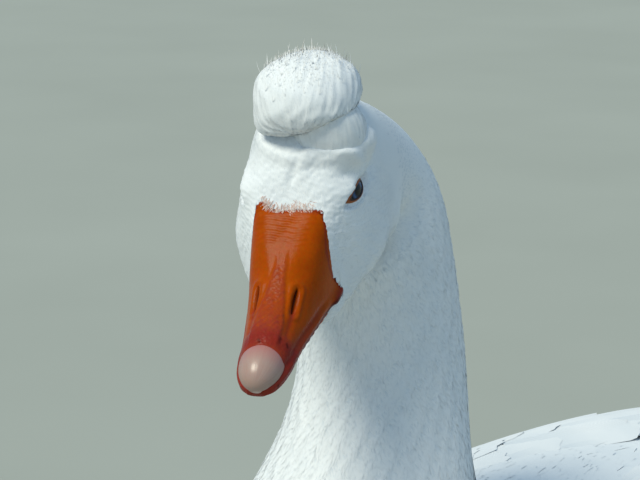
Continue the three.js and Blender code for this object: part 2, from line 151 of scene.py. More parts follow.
def plumageMaterial(name, tip, root, barbs):
    # goose contour feathers, grown keratin: matte and white, a little greyer and bluer near the root. On the
    # white feathers that root colour is painted shade, where each root lies under the feathers that overlap
    # it.
    # barbs is how many show along a feather: real ones are too fine to show, so they are drawn coarser
    material, shader = newMaterial(name, Roughness=0.78, IOR=1.5, Specular_IOR_Level=0.25)
    vane = addNode(material, "ShaderNodeUVMap", uv_map="vane")
    across = addNode(material, "ShaderNodeSeparateXYZ", {"Vector": vane.outputs[0]})
    rootward = addNode(material, "ShaderNodeMapRange", {
        "Value": across.outputs[1], "From Min": 0.0, "From Max": 0.6, "To Min": 1.0, "To Max": 0.0,
    })
    place = addNode(material, "ShaderNodeTexCoord")
    patches = addNode(material, "ShaderNodeTexNoise", {  # faint grey patches, as wide as a body feather
        "Vector": place.outputs["Object"], "Scale": perMetre(26.3), "Detail": 2.0,
    })
    # painted shade: along its first six tenths a feather turns from its tip colour to its root colour
    tipToRoot = addNode(material, "ShaderNodeMix", {
        0: rootward.outputs[0], 6: linear(tip), 7: linear(root),
    }, data_type="RGBA")
    greyer = addNode(material, "ShaderNodeMapRange", {
        "Value": patches.outputs[0], "From Min": 0.45, "From Max": 0.75, "To Min": 0.0, "To Max": 0.35,
    })
    colour = addNode(material, "ShaderNodeMix", {
        0: greyer.outputs[0], 6: tipToRoot.outputs[2], 7: linear(root),
    }, data_type="RGBA")
    if barbs:
        # barbs leave the shaft at a slant
        slant = addNode(material, "ShaderNodeMath", {0: across.outputs[0], 1: 0.5}, operation="SUBTRACT")
        slant = addNode(material, "ShaderNodeMath", {0: slant.outputs[0]}, operation="ABSOLUTE")
        slant = addNode(material, "ShaderNodeMath", {
            0: slant.outputs[0], 1: -0.6, 2: across.outputs[1],
        }, operation="MULTIPLY_ADD")
        wave = addNode(material, "ShaderNodeMath", {
            0: slant.outputs[0], 1: barbs * 2 * math.pi,
        }, operation="MULTIPLY")
        wave = addNode(material, "ShaderNodeMath", {0: wave.outputs[0]}, operation="SINE")
        bump = addNode(material, "ShaderNodeBump", {
            "Strength": 0.1, "Distance": 0.4 * mm, "Height": wave.outputs[0],
        })
        link(material, bump.outputs[0], shader.inputs["Normal"])
    link(material, colour.outputs[2], shader.inputs["Base Color"])
    return material


def alongStations(values, t):
    # uniform Catmull-Rom through the rows of values, at station numbers t
    values = np.asarray(values, float)
    padded = np.concatenate([[2 * values[0] - values[1]], values, [2 * values[-1] - values[-2]]])
    whole = np.clip(np.floor(t).astype(int), 0, len(values) - 2)
    s = (t - whole)[..., None]
    a, b, c, d = (padded[whole + k] for k in range(4))
    return b + 0.5 * s * (c - a + s * (2 * a - 5 * b + 4 * c - d + s * (3 * (b - c) + d - a)))


def smoothStep(low, high, value):
    # 0 at low, 1 at high, smooth between, whichever of the two is greater
    x = np.clip((value - low) / (high - low), 0, 1)
    return x * x * (3 - 2 * x)


def hill(away, spread):
    # 1 where away is 0, falling softly to both sides
    return np.exp(-(away / spread) ** 2)


def unit(v):
    return v / np.maximum(np.linalg.norm(v, axis=-1, keepdims=True), 1e-9)


def gridNormals(points, wrap):
    # unit normals of a grid of points, from rows along and columns round
    along = np.gradient(points, axis=0)
    if wrap:
        padded = np.concatenate([points[:, -1:], points, points[:, :1]], 1)
        across = (padded[:, 2:] - padded[:, :-2]) / 2
    else:
        across = np.gradient(points, axis=1)
    return unit(np.cross(along, across)), along, across


def makeSurface(points, wrap, flip=False):
    normals, along, across = gridNormals(points, wrap)
    if flip:
        normals = -normals
    return {"points": points, "normals": normals, "along": along, "across": across, "wrap": wrap}


def sampled(surface, key, i, j):
    # bilinear look-up by row i and column j, which may be fractions; columns wrap on a closed surface
    grid = surface[key]
    rows, columns = grid.shape[:2]
    i = np.clip(i, 0, rows - 1.0001)
    i0 = i.astype(int)
    si = (i - i0)[..., None]
    if surface["wrap"]:
        j = np.mod(j, columns)
        j0 = np.minimum(j.astype(int), columns - 1)
        j1 = (j0 + 1) % columns
    else:
        j = np.clip(j, 0, columns - 1.0001)
        j0 = j.astype(int)
        j1 = j0 + 1
    sj = (j - j0)[..., None]
    top = grid[i0, j0] * (1 - sj) + grid[i0, j1] * sj
    return top * (1 - si) + (grid[i0 + 1, j0] * (1 - sj) + grid[i0 + 1, j1] * sj) * si


def atHead(f, u):
    cosP, sinP = math.cos(head["pitch"]), math.sin(head["pitch"])
    return [head["centre"][0] - f * cosP - u * sinP, head["centre"][1] - f * sinP + u * cosP]


# back line, belly line, half width, share of the way up where it is widest, squareness, turn in degrees,
# and how deep the plumage is there
bodyStations = [
    ("rump end", [222, 283], [216, 241], 40, 0.5, 2.1, 0, 4),
    ("rump", [180, 293], [172, 204], 62, 0.5, 2.1, 0, 3.2),
    ("vent", [125, 305], [118, 151], 85, 0.48, 2.1, 0, 3.0),
    ("belly", [62, 313], [56, 114], 98, 0.48, 2.15, 0, 2.8),
    ("mid back", [0, 316], [-8, 110], 102, 0.5, 2.15, 0, 2.8),
    ("shoulder", [-44, 318], [-72, 122], 100, 0.5, 2.1, 0, 2.8),
    ("keel", [-54, 322], [-128, 146], 93, 0.5, 2.05, 0, 2.8),
    ("breast", [-58, 330], [-170, 182], 82, 0.5, 2, 0, 2.8),
    ("crop", [-60, 341], [-187, 229], 68, 0.52, 2, 0, 2.8),
    ("neck root", [-60, 355], [-180.5, 274], 56.5, 0.54, 2, 0, 3),
    ("low neck", [-57, 371], [-159, 316], 45, 0.54, 2, 0, 2.4),
    ("mid neck", [-53, 392], [-135, 354], 35.5, 0.52, 2, 1, 1.9),
    ("neck", [-53, 414], [-121, 384], 32, 0.5, 2, 4, 1.6),
    ("upper neck", [-55, 438], [-117, 409], 31, 0.5, 2, 8, 1.5),
    ("throat", [-61, 462], [-117, 424], 31, 0.5, 2.1, 13, 1.4),
    ("nape", [-76.5, 480.3], [-117, 431], 30.5, 0.47, 2.25, 18, 1.3),
    ("occiput", [-100, 492.6], [-117.5, 434], 29.5, 0.43, 2.35, 21.5, 1.1),
    ("jaw", atHead(-27, 26.8), atHead(-16, -38.5), 28, 0.36, 2.35, 25, 0.9),
    ("cheek", atHead(-12, 27), atHead(-7, -39.5), 27.3, 0.31, 2.3, 25.5, 0.8),
    ("brow", atHead(1, 25), atHead(4, -39.5), 26.3, 0.29, 2.3, 25.5, 0.7),
    ("forehead", atHead(12, 17), atHead(14, -38), 23.5, 0.3, 2.4, 25.5, 0.6),
    ("bill root", atHead(22, 5.5), atHead(24, -37), 18.0, 0.34, 4.6, 25.5, 0.5),
    ("bill side", atHead(30, 0.2), atHead(38, -37.6), 15.6, 0.38, 5.4, 25.5, 0.0),
]
lastStation = len(bodyStations) - 1


bill = {
    "rootF": 22.0, "rootU": 5.0, "length": 61.0, "edgeForward": 2.3, "rootLean": 0.047,
    "rootHeight": 32.0, "rootHalfWidth": 16.4,
    "tipDrop": 2.0,  # the mouth's edge sinks by this towards the tip
    "gape": ((24.0, 17.0, -25.5), (29.0, 15.5, -27.0)),  # ends of the left fleshy corner of the mouth
    "streak": ((54.0, 7.4, -15.0), (64.0, 6.8, -18.5)),  # ends of the redder line behind the left nostril
    "taper": 0.13,  # how much narrower it is at its top than at its edge
    "lowerLength": 54.0, "lowerDepth": 8.5,
    "rows": 230, "columns": 220,
    "nostril": ((46.2, 7.5, -10.9), (53.9, 7.6, -14.8)),  # ends of the left slit, forward, left, up
    "nostrilWide": 0.75, "nostrilDeep": 1.5,
    # heights of its relief: rim of the nostril, hollow that runs on towards the tip, dip round the whole,
    # raised plate and its roughness, wrinkles, thick edge of the mouth and groove over it, corner of the
    # mouth, and small unevenness all over
    "rim": 0.45, "hollow": 0.35, "dip": 0.5, "plate": 0.5, "plateRough": 0.16, "wrinkleHigh": 0.11,
    "edge": 0.55, "groove": 0.35, "gapeHigh": 1.1, "uneven": 0.06,
    "hollowRuns": (9.0, -0.6, -3.4), "dipBehind": (-6.0, 1.5, 4.5),  # forward, left, up of the nostril's ends
    "edgeOver": 2.0, "grooveOver": 4.4,  # how far above the mouth they lie
    # short dark stains near the nail, from end to end
    "marks": [((68.9, -1.6, -16.4), (69.6, -1.0, -16.7)), ((66.0, 5.4, -17.6), (68.6, 4.6, -18.2)),
              ((66.2, 7.6, -19.7), (66.9, 7.9, -20.4)), ((79.6, 6.8, -27.4), (80.0, 7.4, -28.2))],
    "wrinkle": 1.7,  # mm from one wrinkle to the next at the root
}
billStations = [
    # along, height, half width, squareness
    (0, 1, 1, 6.0), (0.14, 0.84, 0.92, 4.4), (0.3, 0.65, 0.81, 3.2), (0.45, 0.52, 0.72, 2.6),
    (0.6, 0.43, 0.63, 2.3), (0.76, 0.36, 0.58, 2.3), (0.88, 0.29, 0.5, 2.3), (0.96, 0.18, 0.37, 2.2),
    (1, 0.08, 0.2, 2),
]
nail = {
    "f": 73.0, "u": -24.8, "halfLength": 11.8, "halfWidth": 8.0, "halfHeight": 7.8,
    "under": -29.2, "back": 65.0,  # it ends below at this height, and behind at this place
}


def bulge(value, square):
    return np.sign(value) * np.abs(value) ** (2 / square)


def bodyPoints(t, phi):
    # points on the outline of the plumage; t is a station number, phi 0 at the back, positive to the left
    back = alongStations([s[1] for s in bodyStations], t)
    belly = alongStations([s[2] for s in bodyStations], t)
    shape = alongStations([s[3:8] for s in bodyStations], t)
    wide, widest, square, turn, depth = (shape[..., k] for k in range(5))
    middle = belly + (back - belly) * widest[..., None]
    up = unit(back - belly)
    cosA, sinA = np.cos(phi), np.sin(phi)
    above, below = (np.linalg.norm(end - middle, axis=-1) for end in (back, belly))
    reach = np.where(cosA > 0, above, below)
    rise = reach * bulge(cosA, square)
    x = wide * bulge(sinA, square)
    x = x * (1 - bill["taper"] * smoothStep(19.6, 21.2, t) * np.maximum(bulge(cosA, square), 0))
    y = middle[..., 0] + up[..., 0] * rise
    z = middle[..., 1] + up[..., 1] * rise
    x, y = rotated(x, y, np.radians(turn))
    return np.stack([x, y, z], -1), depth


def eyeMeasure(f, u):
    # 1 on the edge of the lids' opening, growing outward; also the place along and across the opening
    cosT, sinT = math.cos(eye["tilt"]), math.sin(eye["tilt"])
    along = -(f - eye["f"]) * cosT + (u - eye["u"]) * sinT
    across = (f - eye["f"]) * sinT + (u - eye["u"]) * cosT
    a = np.abs(along) / (eye["openLength"] / 2)
    c = np.abs(across) / (eye["openHeight"] / 2)
    square = eye["openSquare"]
    return (a ** square + c ** square) ** (1 / square), along, across


def ballHeight(f, u, grow):
    # how far to the side the eyeball's surface, or a surface a little over it, stands at f, u
    gone = ((f - eye["f"]) / eye["long"]) ** 2 + ((u - eye["u"]) / eye["high"]) ** 2
    lying = eye["slopeF"] * (f - eye["f"]) + eye["slopeU"] * (u - eye["u"])
    return eye["l"] + grow + eye["deep"] * np.sqrt(np.maximum(1 - gone, 0.1)) - lying


# how far forward the feathers reach round the bill: the angle from its top in radians, and f
featherLine = [
    (0, 20.9), (0.1, 20.8), (0.26, 20.7), (0.4, 20.5), (0.518, 20.2), (0.6, 20.8), (0.677, 22.4),
    (0.838, 25.5), (1.086, 27.7), (1.443, 28.7), (1.843, 27.4), (2.183, 23.9), (2.32, 24.5), (2.45, 30.0),
    (2.6, 37.0), (3.2, 40.0),
]


def pastFeathers(f, l, u):
    # millimetres in front of the edge of the plumage
    angle = np.arctan2(np.abs(l), u + 14)
    edge = np.interp(angle, *zip(*featherLine))
    # the chin's feathers reach further forward, those at the bill's right shoulder less far
    edge = edge + (38.5 - edge) * smoothStep(-28.2, -29.4, u)
    edge = edge - 1.6 * smoothStep(-7, -11, l) * smoothStep(-8, -2, u)
    point = 1.1 * hill(l + 3.6, 1.9) * (u > 0)
    ragged = 0.22 * np.sin(l * 5.1 + 1.0) + 0.22 * np.sin(u * 4.3) + 0.15 * np.sin(l * 9.7 - u * 3.1)
    return f - edge - point - ragged


headForm = {
    # swellings and hollows of the head: height, then centre and spread forward, left and up; None: all along
    "dimple": (-0.4, (14.3, -0.4, None), (1.3, 1.3, None)),
    "leftPillow": (2.1, (5.5, 13.0, None), (6.5, 4.8, None)),
    "rightPillow": (0.8, (9.0, -12.0, None), (6.0, 5.0, None)),
    "leftShoulder": (10.5, (-7.0, 18.5, 19.5), (10.0, 5.5, 8.0)),
    "cheeks": (1.2, (-4.0, None, -24.0), (9.0, None, 9.0)),
    "rightLore": (0.9, (12.5, None, 4.0), (3.5, None, 6.0)),
    "rightCheek": (1.4, (6.0, None, -16.0), (9.0, None, 9.0)),
    "lores": (2.5, (10.5, None, 6.5), (5.0, None, 4.5)),
    "behindEyes": (-1.1, (-7.0, None, 7.0), (4.0, None, 3.5)),
    # lines on the forehead: where they cross the middle, and how far they swing for each mm to the side
    "crease": (6.8, 0.33), "creaseLeft": 2.1, "creaseDeep": 0.42,
    "fold": (8.4, 0.36), "foldHigh": 1.5, "foldDeep": 0.5,
    "puffRim": 1.8,  # the feathers rise round the foot of the crest
    "tufts": 0.11,
}
neckForm = {
    "furrows": 26, "furrowDeep": 0.34,
    "jaw": (2.8, 17.0, 0.65), "throat": (-6.5, 15.5, 0.7),  # height, station and spread
    "chinFrom": 20.95, "chinU": -30.0,  # the chin narrows towards this height
}
bodyGrid = {"rows": 1321, "columns": 640}
gridT = np.linspace(0, lastStation, bodyGrid["rows"])
gridPhi = np.arange(bodyGrid["columns"]) * 2 * math.pi / bodyGrid["columns"]
meshT, meshPhi = np.meshgrid(gridT, gridPhi, indexing="ij")


def mound(name, f, l, u):
    height, centre, spread = headForm[name]
    away = sum(((value - c) / s) ** 2 for value, c, s in zip((f, l, u), centre, spread) if s)
    return height * np.exp(-away)


def withSockets(points):
    # lays the skin of the head over the eyeballs, with a soft hollow round the lids; and the same with a hole
    f, l, u = birdToHead(points)
    measure, along, across = eyeMeasure(f, u)
    onSide = smoothStep(8, 11, np.abs(l))
    near = (1 - smoothStep(*eye["socket"], measure)) * onSide
    high, over, overSpread, back, backSpread = eye["brow"]
    browRidge = high * np.exp(-((across - over) / overSpread) ** 2 - ((along - back) / backSpread) ** 2)
    form = mound("lores", f, l, u) + browRidge + mound("behindEyes", f, l, u)
    level = np.abs(l) + form * onSide
    level = level * (1 - near) + ballHeight(f, u, eye["rim"] - 0.4) * near
    hole = level - eye["holeDeep"] * (1 - smoothStep(*eye["hole"], measure)) * onSide
    return headToBird(f, np.sign(l) * level, u), headToBird(f, np.sign(l) * hole, u), measure


def neckRelief():
    # the furrowed neck: shallow ridges that run down and back, broken along their length
    onNeck = smoothStep(9.4, 11.2, meshT) * (1 - smoothStep(14.2, 15.6, meshT))
    wander = 0.8 * np.sin(meshT * 9 + meshPhi * 7)
    ridge = np.sin(meshPhi * neckForm["furrows"] + meshT * 5.2 * np.sign(np.sin(meshPhi)) + wander)
    ridge = ridge * (0.6 + 0.4 * np.sin(meshT * 23 + 2 * np.sin(meshPhi * 13)))
    return neckForm["furrowDeep"] * onNeck * ridge


def jawRelief():
    # the jaw hangs a little over the throat
    below = smoothStep(0.25, -0.35, np.cos(meshPhi))
    (high, jawT, jawSpread), (deep, throatT, throatSpread) = neckForm["jaw"], neckForm["throat"]
    return (high * hill(meshT - jawT, jawSpread) + deep * hill(meshT - throatT, throatSpread)) * below


def withChin(skin):
    # the chin ends in a blunt wedge under the lower bill
    f, l, u = birdToHead(skin)
    share = np.clip((meshT - neckForm["chinFrom"]) / (lastStation - neckForm["chinFrom"]), 0, 1) ** 1.5
    narrow = np.sqrt(1 - 0.97 * share ** 2)
    low = neckForm["chinU"]
    return headToBird(f, l * narrow, low + (u - low) * narrow)


def headRelief(f, l, u, onHead):
    # a crease down the forehead between two pillows, a fold below the crest, and its near shoulder
    at, swing = headForm["crease"]
    offCrease = l - headForm["creaseLeft"] + swing * (f - at)
    crease = hill(offCrease, 1.3) - 0.8 * hill(offCrease - 3.2, 2.2) - 0.8 * hill(offCrease + 3.2, 2.2)
    relief = -headForm["creaseDeep"] * crease * smoothStep(2, 6, f) * smoothStep(17.5, 12.5, f)
    for name in ("dimple", "leftPillow", "rightPillow"):
        relief = relief + mound(name, f, l, u)
    at, swing = headForm["fold"]
    offFold = f - at + swing * np.abs(l)
    ends = smoothStep(24, 17, l)
    relief += headForm["foldHigh"] * hill(offFold, 1.5) * smoothStep(-1.0, 5.0, l) * ends
    relief -= headForm["foldDeep"] * hill(offFold - 4.2, 1.7) * smoothStep(2.0, 8.0, l) * ends
    fromPuff = np.hypot((f + 9.0) / 17.5, (l - 1.7) / 17.5)
    relief += headForm["puffRim"] * hill(fromPuff - 1.02, 0.13) * (f > -9)
    relief += mound("leftShoulder", f, l, u)
    cheek = mound("cheeks", f, l, u) * onHead
    # its right side is a little fuller, before the eye and on the cheek
    onRight = smoothStep(-4, -12, l) * onHead
    cheek = cheek + mound("rightLore", f, l, u) * onRight
    cheek = cheek + mound("rightCheek", f, l, u) * onRight
    # small tufts, two to four millimetres across, lie unevenly
    tufted = np.sin(f * 1.7 + 1.3 * np.sin(l * 0.9)) * np.sin(l * 1.5 + 1.4 * np.sin(u * 1.1 + f * 0.4)) \
        + np.sin(f * 0.9 - u * 2.1 + np.sin(l * 1.9)) * np.sin(u * 1.2 + l * 1.1)
    cheek = cheek + headForm["tufts"] * tufted * onHead
    return relief * smoothStep(4, 10, u) * onHead + cheek


def bodySurface():
    outline, depth = bodyPoints(meshT, meshPhi)
    outer = makeSurface(outline, True)
    skin = outline - outer["normals"] * depth[..., None]
    skin = skin + outer["normals"] * neckRelief()[..., None]
    skin = withChin(skin + outer["normals"] * jawRelief()[..., None])
    onHead = smoothStep(16.5, 18.5, meshT)
    skin = skin + outer["normals"] * headRelief(*birdToHead(skin), onHead)[..., None]
    socketed, holed, measure = withSockets(skin)
    holed = skin + (holed - skin) * onHead[..., None]
    skin = skin + (socketed - skin) * onHead[..., None]
    bare = smoothStep(0.2, 1.4, pastFeathers(*birdToHead(skin))) * smoothStep(20, 20.5, meshT)
    surface = makeSurface(skin, True)
    surface["skin"] = holed - outer["normals"] * (3.0 * bare)[..., None]  # what is bare is cut away
    surface["measure"] = measure[..., None]
    return surface


body = bodySurface()
print("body surface ready")


def meshFrom(name, points, triangles, materials, smooth=True):
    mesh = bpy.data.meshes.new(name)
    mesh.vertices.add(len(points))
    mesh.vertices.foreach_set("co", np.ascontiguousarray(points, np.float32).ravel())
    count = len(triangles)
    mesh.loops.add(count * 3)
    mesh.loops.foreach_set("vertex_index", np.ascontiguousarray(triangles, np.int32).ravel())
    mesh.polygons.add(count)
    mesh.polygons.foreach_set("loop_start", np.arange(0, count * 3, 3, dtype=np.int32))
    mesh.polygons.foreach_set("use_smooth", np.full(count, smooth))
    for material in materials:
        mesh.materials.append(material)
    mesh.update(calc_edges=True)
    thing = bpy.data.objects.new(name, mesh)
    bpy.context.scene.collection.objects.link(thing)
    return thing


def addUv(thing, name, perVertex):
    layer = thing.data.uv_layers.new(name=name)
    index = np.empty(len(thing.data.loops), np.int32)
    thing.data.loops.foreach_get("vertex_index", index)
    layer.data.foreach_set("uv", np.ascontiguousarray(perVertex[index], np.float32).ravel())


def gridTriangles(rows, columns, wrap):
    i, j = np.meshgrid(np.arange(rows - 1), np.arange(columns if wrap else columns - 1), indexing="ij")
    a = (i * columns + j).ravel()
    b = (i * columns + (j + 1) % columns).ravel()
    return np.concatenate([np.stack([a, a + columns, b + columns], 1), np.stack([a, b + columns, b], 1)])


def closedLoft(points):
    # rings as rows; both ends are closed with a fan
    rows, columns = points.shape[:2]
    flat = np.concatenate([points.reshape(-1, 3), points[:1].mean(1), points[-1:].mean(1)])
    first, last = rows * columns, rows * columns + 1
    j = np.arange(columns)
    k = (j + 1) % columns
    start = np.stack([np.full(columns, first), j, k], 1)
    end = np.stack([np.full(columns, last), k + (rows - 1) * columns, j + (rows - 1) * columns], 1)
    return flat, np.concatenate([gridTriangles(rows, columns, True), start, end])


def joinShells(shells):
    points, triangles, start = [], [], 0
    for flat, index in shells:
        points.append(flat)
        triangles.append(index + start)
        start += len(flat)
    return np.concatenate(points), np.concatenate(triangles)


def show(thing, slotName, *nodes):
    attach(thing, "root")
    if nodes:
        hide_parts(*nodes)


def bladeShape(rows):
    # one tapering barb-lock: pairs of points and a tip
    x = np.linspace(0, 1, rows + 1)[:-1]
    half = 0.5 * np.sin(np.pi * (0.22 + 0.62 * x)) ** 0.8
    points = []
    for k in range(rows):
        points += [[x[k], -half[k], 0], [x[k], half[k], 0]]
    points.append([1, 0, 0])
    triangles = []
    for k in range(rows - 1):
        a = 2 * k
        triangles += [[a, a + 2, a + 3], [a, a + 3, a + 1]]
    a = 2 * (rows - 1)
    triangles.append([a, a + 2, a + 1])
    return np.array(points, float), np.array(triangles)


def strandShape(rows):
    # a fine closed strand with three sides, so that it shades alike from every side
    x = np.linspace(0, 1, rows + 1)[:-1] ** 1.1
    half = 0.5 * np.sin(np.pi * (0.24 + 0.6 * x)) ** 0.8
    points = []
    for k in range(rows):
        points += [[x[k], -half[k], 0], [x[k], half[k], 0], [x[k], 0, 0.8 * half[k]]]
    points.append([1, 0, 0])
    triangles = [[0, 2, 1]]
    for k in range(rows):
        for a, b in ((0, 1), (1, 2), (2, 0)):
            a, b = a + 3 * k, b + 3 * k
            triangles += [[a, b, b + 3], [a, b + 3, a + 3]] if k < rows - 1 else [[a, b, 3 * rows]]
    return np.array(points, float), np.array(triangles)


def petalShape(rows, columns, seed, fringe=0.06, pointed=0.3, crown=0.16):
    # a rounded vane with a frayed end; x runs along it, y across, z up
    rng = np.random.default_rng(seed)
    side = np.linspace(-1, 1, columns + 1)
    along = np.linspace(0, 1, rows + 1) ** 0.9
    x, y = np.meshgrid(along, side, indexing="ij")
    wide = np.sin(np.pi * np.clip(0.12 + 0.62 * x, 0, 1)) ** 0.7
    zigzag = fringe * np.where(np.arange(columns + 1) % 2 == 0, 1, -1)
    zigzag = zigzag + fringe * rng.normal(0, 0.5, columns + 1)
    reach = 1 - pointed * np.abs(y) ** 2.2
    px = x * reach
    px[-1] += zigzag
    px[-2] += zigzag * 0.2
    py = 0.5 * y * wide
    pz = -crown * y ** 2 * wide
    points = np.stack([px, py, pz], -1).reshape(-1, 3)
    return points, gridTriangles(rows + 1, columns + 1, False)


def quillShape(rows, seed, crown):
    # a stiff flight feather: parallel edges, a raised shaft, a rounded end and a few parted barbs
    rng = np.random.default_rng(seed)
    side = np.array([-1, -0.62, -0.22, 0, 0.28, 0.7, 1])
    along = 1 - (1 - np.linspace(0, 1, rows + 1)) ** 1.25
    x, y = np.meshgrid(along, side, indexing="ij")
    start = smoothStep(-0.12, 0.16, x)
    end = np.sqrt(np.maximum(1 - (np.maximum(x - 0.82, 0) / 0.18) ** 2, 0.0))
    wide = start * (0.12 + 0.88 * end)
    py = 0.5 * y * wide
    atEdge = np.abs(y) > 0.9
    px = x + 0.02 * rng.normal(0, 1, x.shape) * (x > 0.3) * atEdge
    parted = rng.uniform(0, 1, x.shape) < 0.07  # seven in a hundred edge points draw in, where barbs part
    py = np.where(parted & atEdge, 0.9 * py, py)
    pz = -crown * y ** 2 * wide + 0.03 * (np.abs(y) < 0.1)
    points = np.stack([px, py, pz], -1).reshape(-1, 3)
    return points, gridTriangles(rows + 1, len(side), False)


def bundleShape(blades, rows, spread, seed):
    # several locks from one root, fanned a little, as a small soft feather
    rng = np.random.default_rng(seed)
    allPoints, allTriangles = [], []
    for k in range(blades):
        share = (k / (blades - 1) - 0.5) * 2
        points, triangles = bladeShape(rows)
        points[:, 1] *= 0.42
        points[:, 0] *= 1 - 0.16 * share ** 2 + rng.normal(0, 0.04)
        angle = spread * share
        x, y = points[:, 0], points[:, 1]
        turnedX = x * math.cos(angle) - y * math.sin(angle)
        turnedY = x * math.sin(angle) * 0.9 + y * math.cos(angle) + 0.16 * share
        points = np.stack([turnedX, turnedY, points[:, 2] - 0.12 * share ** 2 + rng.normal(0, 0.015)], 1)
        allTriangles.append(triangles + sum(len(p) for p in allPoints))
        allPoints.append(points)
    return np.concatenate(allPoints), np.concatenate(allTriangles)


def placeRoots(surface, spacing, keep, seed):
    # an even scatter over the surface: spacing is the distance between neighbours at each grid point, and
    # keep the share of them that grows there. The golden ratio sets them apart, jitter makes them uneven.
    rng = np.random.default_rng(seed)
    jitter = 0.35
    area = np.linalg.norm(np.cross(surface["along"], surface["across"]), axis=-1)
    weight = area / spacing ** 2 * keep
    if not surface["wrap"]:
        weight[:, -1] = 0
    rowSum = weight.sum(1)
    total = int(rowSum.sum())
    rowEdge = np.concatenate([[0], np.cumsum(rowSum)])
    k = np.arange(total)
    target = (k + 0.5 + rng.uniform(-jitter, jitter, total) * math.sqrt(total) * jitter) / total
    target = np.clip(target, 0, 0.999999) * rowEdge[-1]
    row = np.clip(np.searchsorted(rowEdge, target) - 1, 0, len(rowSum) - 1)
    i = row + (target - rowEdge[row]) / np.maximum(rowSum[row], 1e-9)
    share = np.mod(k * golden + rng.uniform(-jitter, jitter, total) / math.sqrt(total), 1.0)
    columns = weight.shape[1]
    cumulative = np.cumsum(weight, 1) / np.maximum(rowSum, 1e-12)[:, None]
    flat = (cumulative + np.arange(len(rowSum))[:, None]).ravel()
    found = np.clip(np.searchsorted(flat, row + share * 0.99999), 0, flat.size - 1)
    column = found - row * columns
    column = np.clip(column, 0, columns - 1)
    before = np.where(column > 0, cumulative[row, np.maximum(column - 1, 0)], 0)
    j = column + (share - before) / np.maximum(cumulative[row, column] - before, 1e-12)
    return i - 0.5, np.clip(j - 0.5, -0.5, columns - 0.5)


def softenShading(thing, ground, share):
    # fine plumage reads as one soft form: its shading normals lean towards those of the surface below
    own = np.empty(len(thing.data.vertices) * 3, np.float32)
    thing.data.vertex_normals.foreach_get("vector", own)
    thing.data.normals_split_custom_set_from_vertices(unit(ground * share + own.reshape(-1, 3) * (1 - share)))


def layFeathers(name, surface, roots, shapes, length, width, lift, material, *, angle=0.0, sway, base,
                rise=1.0, curl=0.0, layer=0.0, soft=0.0, seed):
    # puts one feather at each root, pressed along the surface. Sizes are millimetres, one value or one each.
    # lift: how far the tip stands off, as a share of the length. angle turns the lie towards growing columns,
    # and sway varies it. base: how high all of it lies. rise: less than 1 lifts it sooner. curl bends it to a
    # side, layer spreads heights so that neighbours don't cut, and soft is the share of the ground's shading.
    rng = np.random.default_rng(seed)
    i, j = roots
    count = len(i)
    spread = lambda value: np.broadcast_to(np.asarray(value, float), (count,)).copy()
    length, width, lift, angle = spread(length), spread(width), spread(lift), spread(angle)
    length *= rng.uniform(0.86, 1.12, count)
    width *= rng.uniform(0.88, 1.1, count)
    lift *= rng.uniform(0.7, 1.3, count)
    angle += rng.normal(0, sway, count)
    tu, tv = sampled(surface, "along", i, j), sampled(surface, "across", i, j)
    normal = unit(sampled(surface, "normals", i, j))
    back = -unit(tu)
    sideways = np.cross(normal, back)
    sideways = sideways * np.sign((sideways * tv).sum(-1))[:, None]
    lie = back * np.cos(angle)[:, None] + sideways * np.sin(angle)[:, None]
    side = np.cross(normal, lie)
    uu, vv, uv = (tu * tu).sum(-1), (tv * tv).sum(-1), (tu * tv).sum(-1)
    det = np.maximum(uu * vv - uv * uv, 1e-9)

    def steps(direction):
        a, b = (direction * tu).sum(-1), (direction * tv).sum(-1)
        return (a * vv - b * uv) / det, (b * uu - a * uv) / det

    lieI, lieJ = steps(lie)
    sideI, sideJ = steps(side)
    variant = rng.integers(0, len(shapes), count)
    templates = np.stack([shape[0] for shape in shapes])[variant]
    triangles = shapes[0][1]
    x, y, z = templates[..., 0], templates[..., 1], templates[..., 2]
    xl, yw = x * length[:, None], y * width[:, None]
    yw = yw + (curl * rng.normal(0, 1, count)[:, None] * x ** 2 * width[:, None])
    vi = i[:, None] + xl * lieI[:, None] + yw * sideI[:, None]
    vj = j[:, None] + xl * lieJ[:, None] + yw * sideJ[:, None]
    rows, columns = surface["points"].shape[:2]
    heldI = np.clip(vi, 0, rows - 1.001)
    heldJ = vj if surface["wrap"] else np.clip(vj, 0, columns - 1.001)
    ground = sampled(surface, "points", heldI, heldJ)
    ground = ground + (vi - heldI)[..., None] * sampled(surface, "along", heldI, heldJ)
    ground = ground + (vj - heldJ)[..., None] * sampled(surface, "across", heldI, heldJ)
    up = unit(sampled(surface, "normals", heldI, heldJ))
    height = base + lift[:, None] * length[:, None] * x ** rise + z * width[:, None]
    height = height + (layer * rng.uniform(0, 1, count))[:, None] * (0.3 + 0.7 * x)
    points = ground + up * height[..., None]
    per = templates.shape[1]
    flat = toScene(points.reshape(-1, 3))
    index = (triangles[None] + (np.arange(count) * per)[:, None, None]).reshape(-1, 3)
    thing = meshFrom(name, flat, index, [material])
    if soft:
        softenShading(thing, up.reshape(-1, 3), soft)
    # each feather has its own small patch at its root's place on the unrolled skin
    rootUv = np.stack([np.mod(j / columns, 1) * 0.98 + 0.01, i / rows * 0.98 + 0.01], -1)
    local = np.stack([np.clip(y, -0.5, 0.5), np.clip(x, 0, 1) - 0.5], -1)
    addUv(thing, "OFBake", (rootUv[:, None] + 0.003 * local).reshape(-1, 2))
    addUv(thing, "vane", np.stack([y + 0.5, x], -1).reshape(-1, 2))
    show(thing, "plumage")
    print(name, count, "feathers", len(index), "triangles")


view = {
    "azimuth": math.radians(40), "pitch": math.radians(13),
    "distance": 875.0, "lens": 136.7,
    "aimRight": 7.0, "aimDown": 18.0,  # the aim point from the middle of the eyes
}


